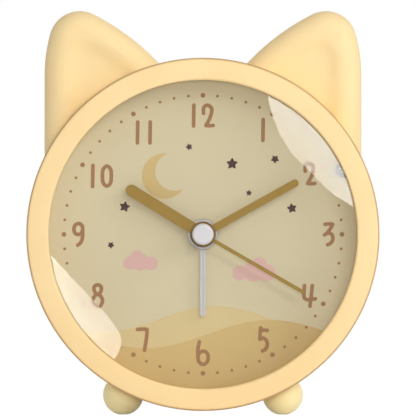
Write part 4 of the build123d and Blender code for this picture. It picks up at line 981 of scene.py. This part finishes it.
stage = {
    "cameraDistance": 6.2,  # metres in front of the bezel's crest
    "cameraX": 0.00166,
    "cameraZ": 0.06739,
    "viewWidth": 0.1354,  # what the frame shows at the bezel, in metres
    "sensorWidth": 36.0,
    "clip": (0.1, 20.0),
    "ambient": 0.43,
    "floorReach": 6.0,
    "floorTone": (0.93, 0.93, 0.93, 1),
    "floorGlow": 1.07,
    "floorShare": 0.9,  # how much of the floor's look is its own glow
    "aim": (0, 0, 0.06),
    "keyLight": {"place": (0.5, -1.32, 0.65), "size": 0.6, "power": 4.75},
    "sideLight": {"place": (1.35, -0.75, 0.7), "size": 0.8, "power": 6.3},
    "lowLight": {"place": (0.05, -1.5, 0.16), "size": 0.3, "power": 4.4},  # fills the feet
    "backLight": {"place": (-0.25, 1.9, 0.3), "size": 0.9, "power": 13.0},
    "cardDistance": 0.9,
    "cardTint": (1, 0.99, 0.97, 1),
    "cardReach": (0.19, 0.237),  # how far from the dial's axis the reflection starts and meets the bezel
}
# Window reflections on the lens: strength at start and bezel, outline in millimetres from its centre
reflections = {
    "windowUpperRight": {"strength": (20.0, 35.0), "outline": (
        (21.2, 48.5), (21.2, 44.8), (22.2, 39.5), (25.2, 32.3), (29.0, 26.2), (34.3, 21.0), (41.1, 14.1),
        (49.3, 8.6), (56, 6), (58, 30), (44, 48))},
    "windowLowerLeft": {"strength": (17.5, 30.0), "outline": (
        (-54, -2.8), (-49.8, -6.4), (-31.6, -25.6), (-26.7, -32.5), (-26.4, -36.1), (-29, -41.3), (-34, -47),
        (-52, -40), (-60, -20))},
}
white = (1, 1, 1, 1)
eye = (stage["cameraX"], depthPlace(0) - stage["cameraDistance"], stage["cameraZ"])


def stageSheet(name, materialName, corners):
    # a flat sheet of the stage's, with a material that has no shader yet
    mesh = bpy.data.meshes.new(name)
    mesh.from_pydata(corners, [], [tuple(range(len(corners)))])
    sheet = newObject(name, mesh)
    material, tree, shader = newMaterial(materialName)
    tree.nodes.remove(shader)
    mesh.materials.append(material)
    return sheet, tree


def showWhite(tree, lit, pale, output):
    # camera, glossy and transmission rays see the pale one, all others the lit one
    path = add(tree, "ShaderNodeLightPath").outputs
    seen = calculate(tree, "MAXIMUM", path["Is Camera Ray"], path["Is Glossy Ray"])
    seenToo = calculate(tree, "MAXIMUM", seen, path["Is Transmission Ray"])
    feed(tree, tree.nodes[output], Surface=mixShaders(tree, seenToo, lit, pale).outputs[0])


def makeWorld():
    world = bpy.data.worlds.new("studio")
    bpy.context.scene.world = world
    world.use_nodes = True
    tree = world.node_tree
    lit = feed(tree, tree.nodes["Background"], Color=white, Strength=stage["ambient"])
    showWhite(tree, lit, add(tree, "ShaderNodeBackground", Color=white, Strength=1.0), "World Output")


def makeFloor():
    # white to the camera but for a share that is lit, so that the shadow stays faintly
    side = stage["floorReach"]
    floor, tree = stageSheet("floor", "floorWhite", [(-side, -side, 0), (side, -side, 0), (side, side, 0),
                                                     (-side, side, 0)])
    floor.visible_glossy = False  # so that it doesn't hide the low window card
    lit = add(tree, "ShaderNodeBsdfDiffuse", Color=stage["floorTone"])
    glow = add(tree, "ShaderNodeEmission", Color=white, Strength=stage["floorGlow"])
    showWhite(tree, lit, mixShaders(tree, stage["floorShare"], lit, glow), "Material Output")


def makeLight(name):
    # a round lamp turned from its place towards the aim
    look = stage[name]
    data = bpy.data.lights.new(name, "AREA")
    data.shape, data.size, data.energy = "DISK", look["size"], look["power"]
    light = newObject(name, data)
    light.location = look["place"]
    towards = mathutils.Vector(np.array(stage["aim"]) - look["place"])
    light.rotation_euler = towards.to_track_quat("-Z", "Y").to_euler()
    return light


def windowCard(name, outline, strength):
    # the camera's view of each outline point, turned back by the lens's normal there, meets the card's plane
    flat = np.array(outline)
    radius = np.linalg.norm(flat, axis=1)
    tilt = np.arcsin(radius / lensBow())
    point = placed(np.stack((flat[:, 0], clock["lensCrown"] + radius * np.tan(tilt / 2), flat[:, 1]), -1))
    lean = flat / radius[:, None] * np.sin(tilt)[:, None]
    normal = np.stack((lean[:, 0], -np.cos(tilt), lean[:, 1]), -1)
    view = (point - eye) / np.linalg.norm(point - eye, axis=1)[:, None]
    back = view - 2 * np.sum(view * normal, 1)[:, None] * normal
    reach = (-stage["cardDistance"] - point[:, 1]) / back[:, 1]
    card, tree = stageSheet(name, name, (point + back * reach[:, None]).tolist())
    card.visible_camera = card.visible_diffuse = card.visible_shadow = card.visible_transmission = False
    sharp = add(tree, "ShaderNodeLightPath").outputs["Is Singular Ray"]  # only the lens reflects the card
    power = spread(tree, fromAxis(tree), *stage["cardReach"], *strength)
    glow = add(tree, "ShaderNodeEmission", Color=stage["cardTint"],
               Strength=calculate(tree, "MULTIPLY", sharp, power))
    mix = mixShaders(tree, sharp, add(tree, "ShaderNodeBsdfTransparent"), glow)
    feed(tree, tree.nodes["Material Output"], Surface=mix.outputs[0])


def makeCamera():
    # the lens is as long as the sensor is wide, times the distance over the width seen
    data = bpy.data.cameras.new("camera")
    data.sensor_width = stage["sensorWidth"]
    data.lens = data.sensor_width * stage["cameraDistance"] / stage["viewWidth"]
    data.clip_start, data.clip_end = stage["clip"]
    camera = newObject("camera", data)
    camera.location = eye
    camera.rotation_euler = (radians(90), 0, 0)
    bpy.context.scene.camera = camera


makeWorld()
makeFloor()
makeLight("keyLight")
makeLight("sideLight")
lowLight = makeLight("lowLight")
lowLight.visible_glossy = lowLight.visible_transmission = False  # so that the lens doesn't mirror it
makeLight("backLight").visible_glossy = False  # else it glares off the tops of the ears
for cardName, card in reflections.items():
    windowCard(cardName, **card)
makeCamera()
bpy.context.scene.view_settings.view_transform = "Standard"
print("stage set")
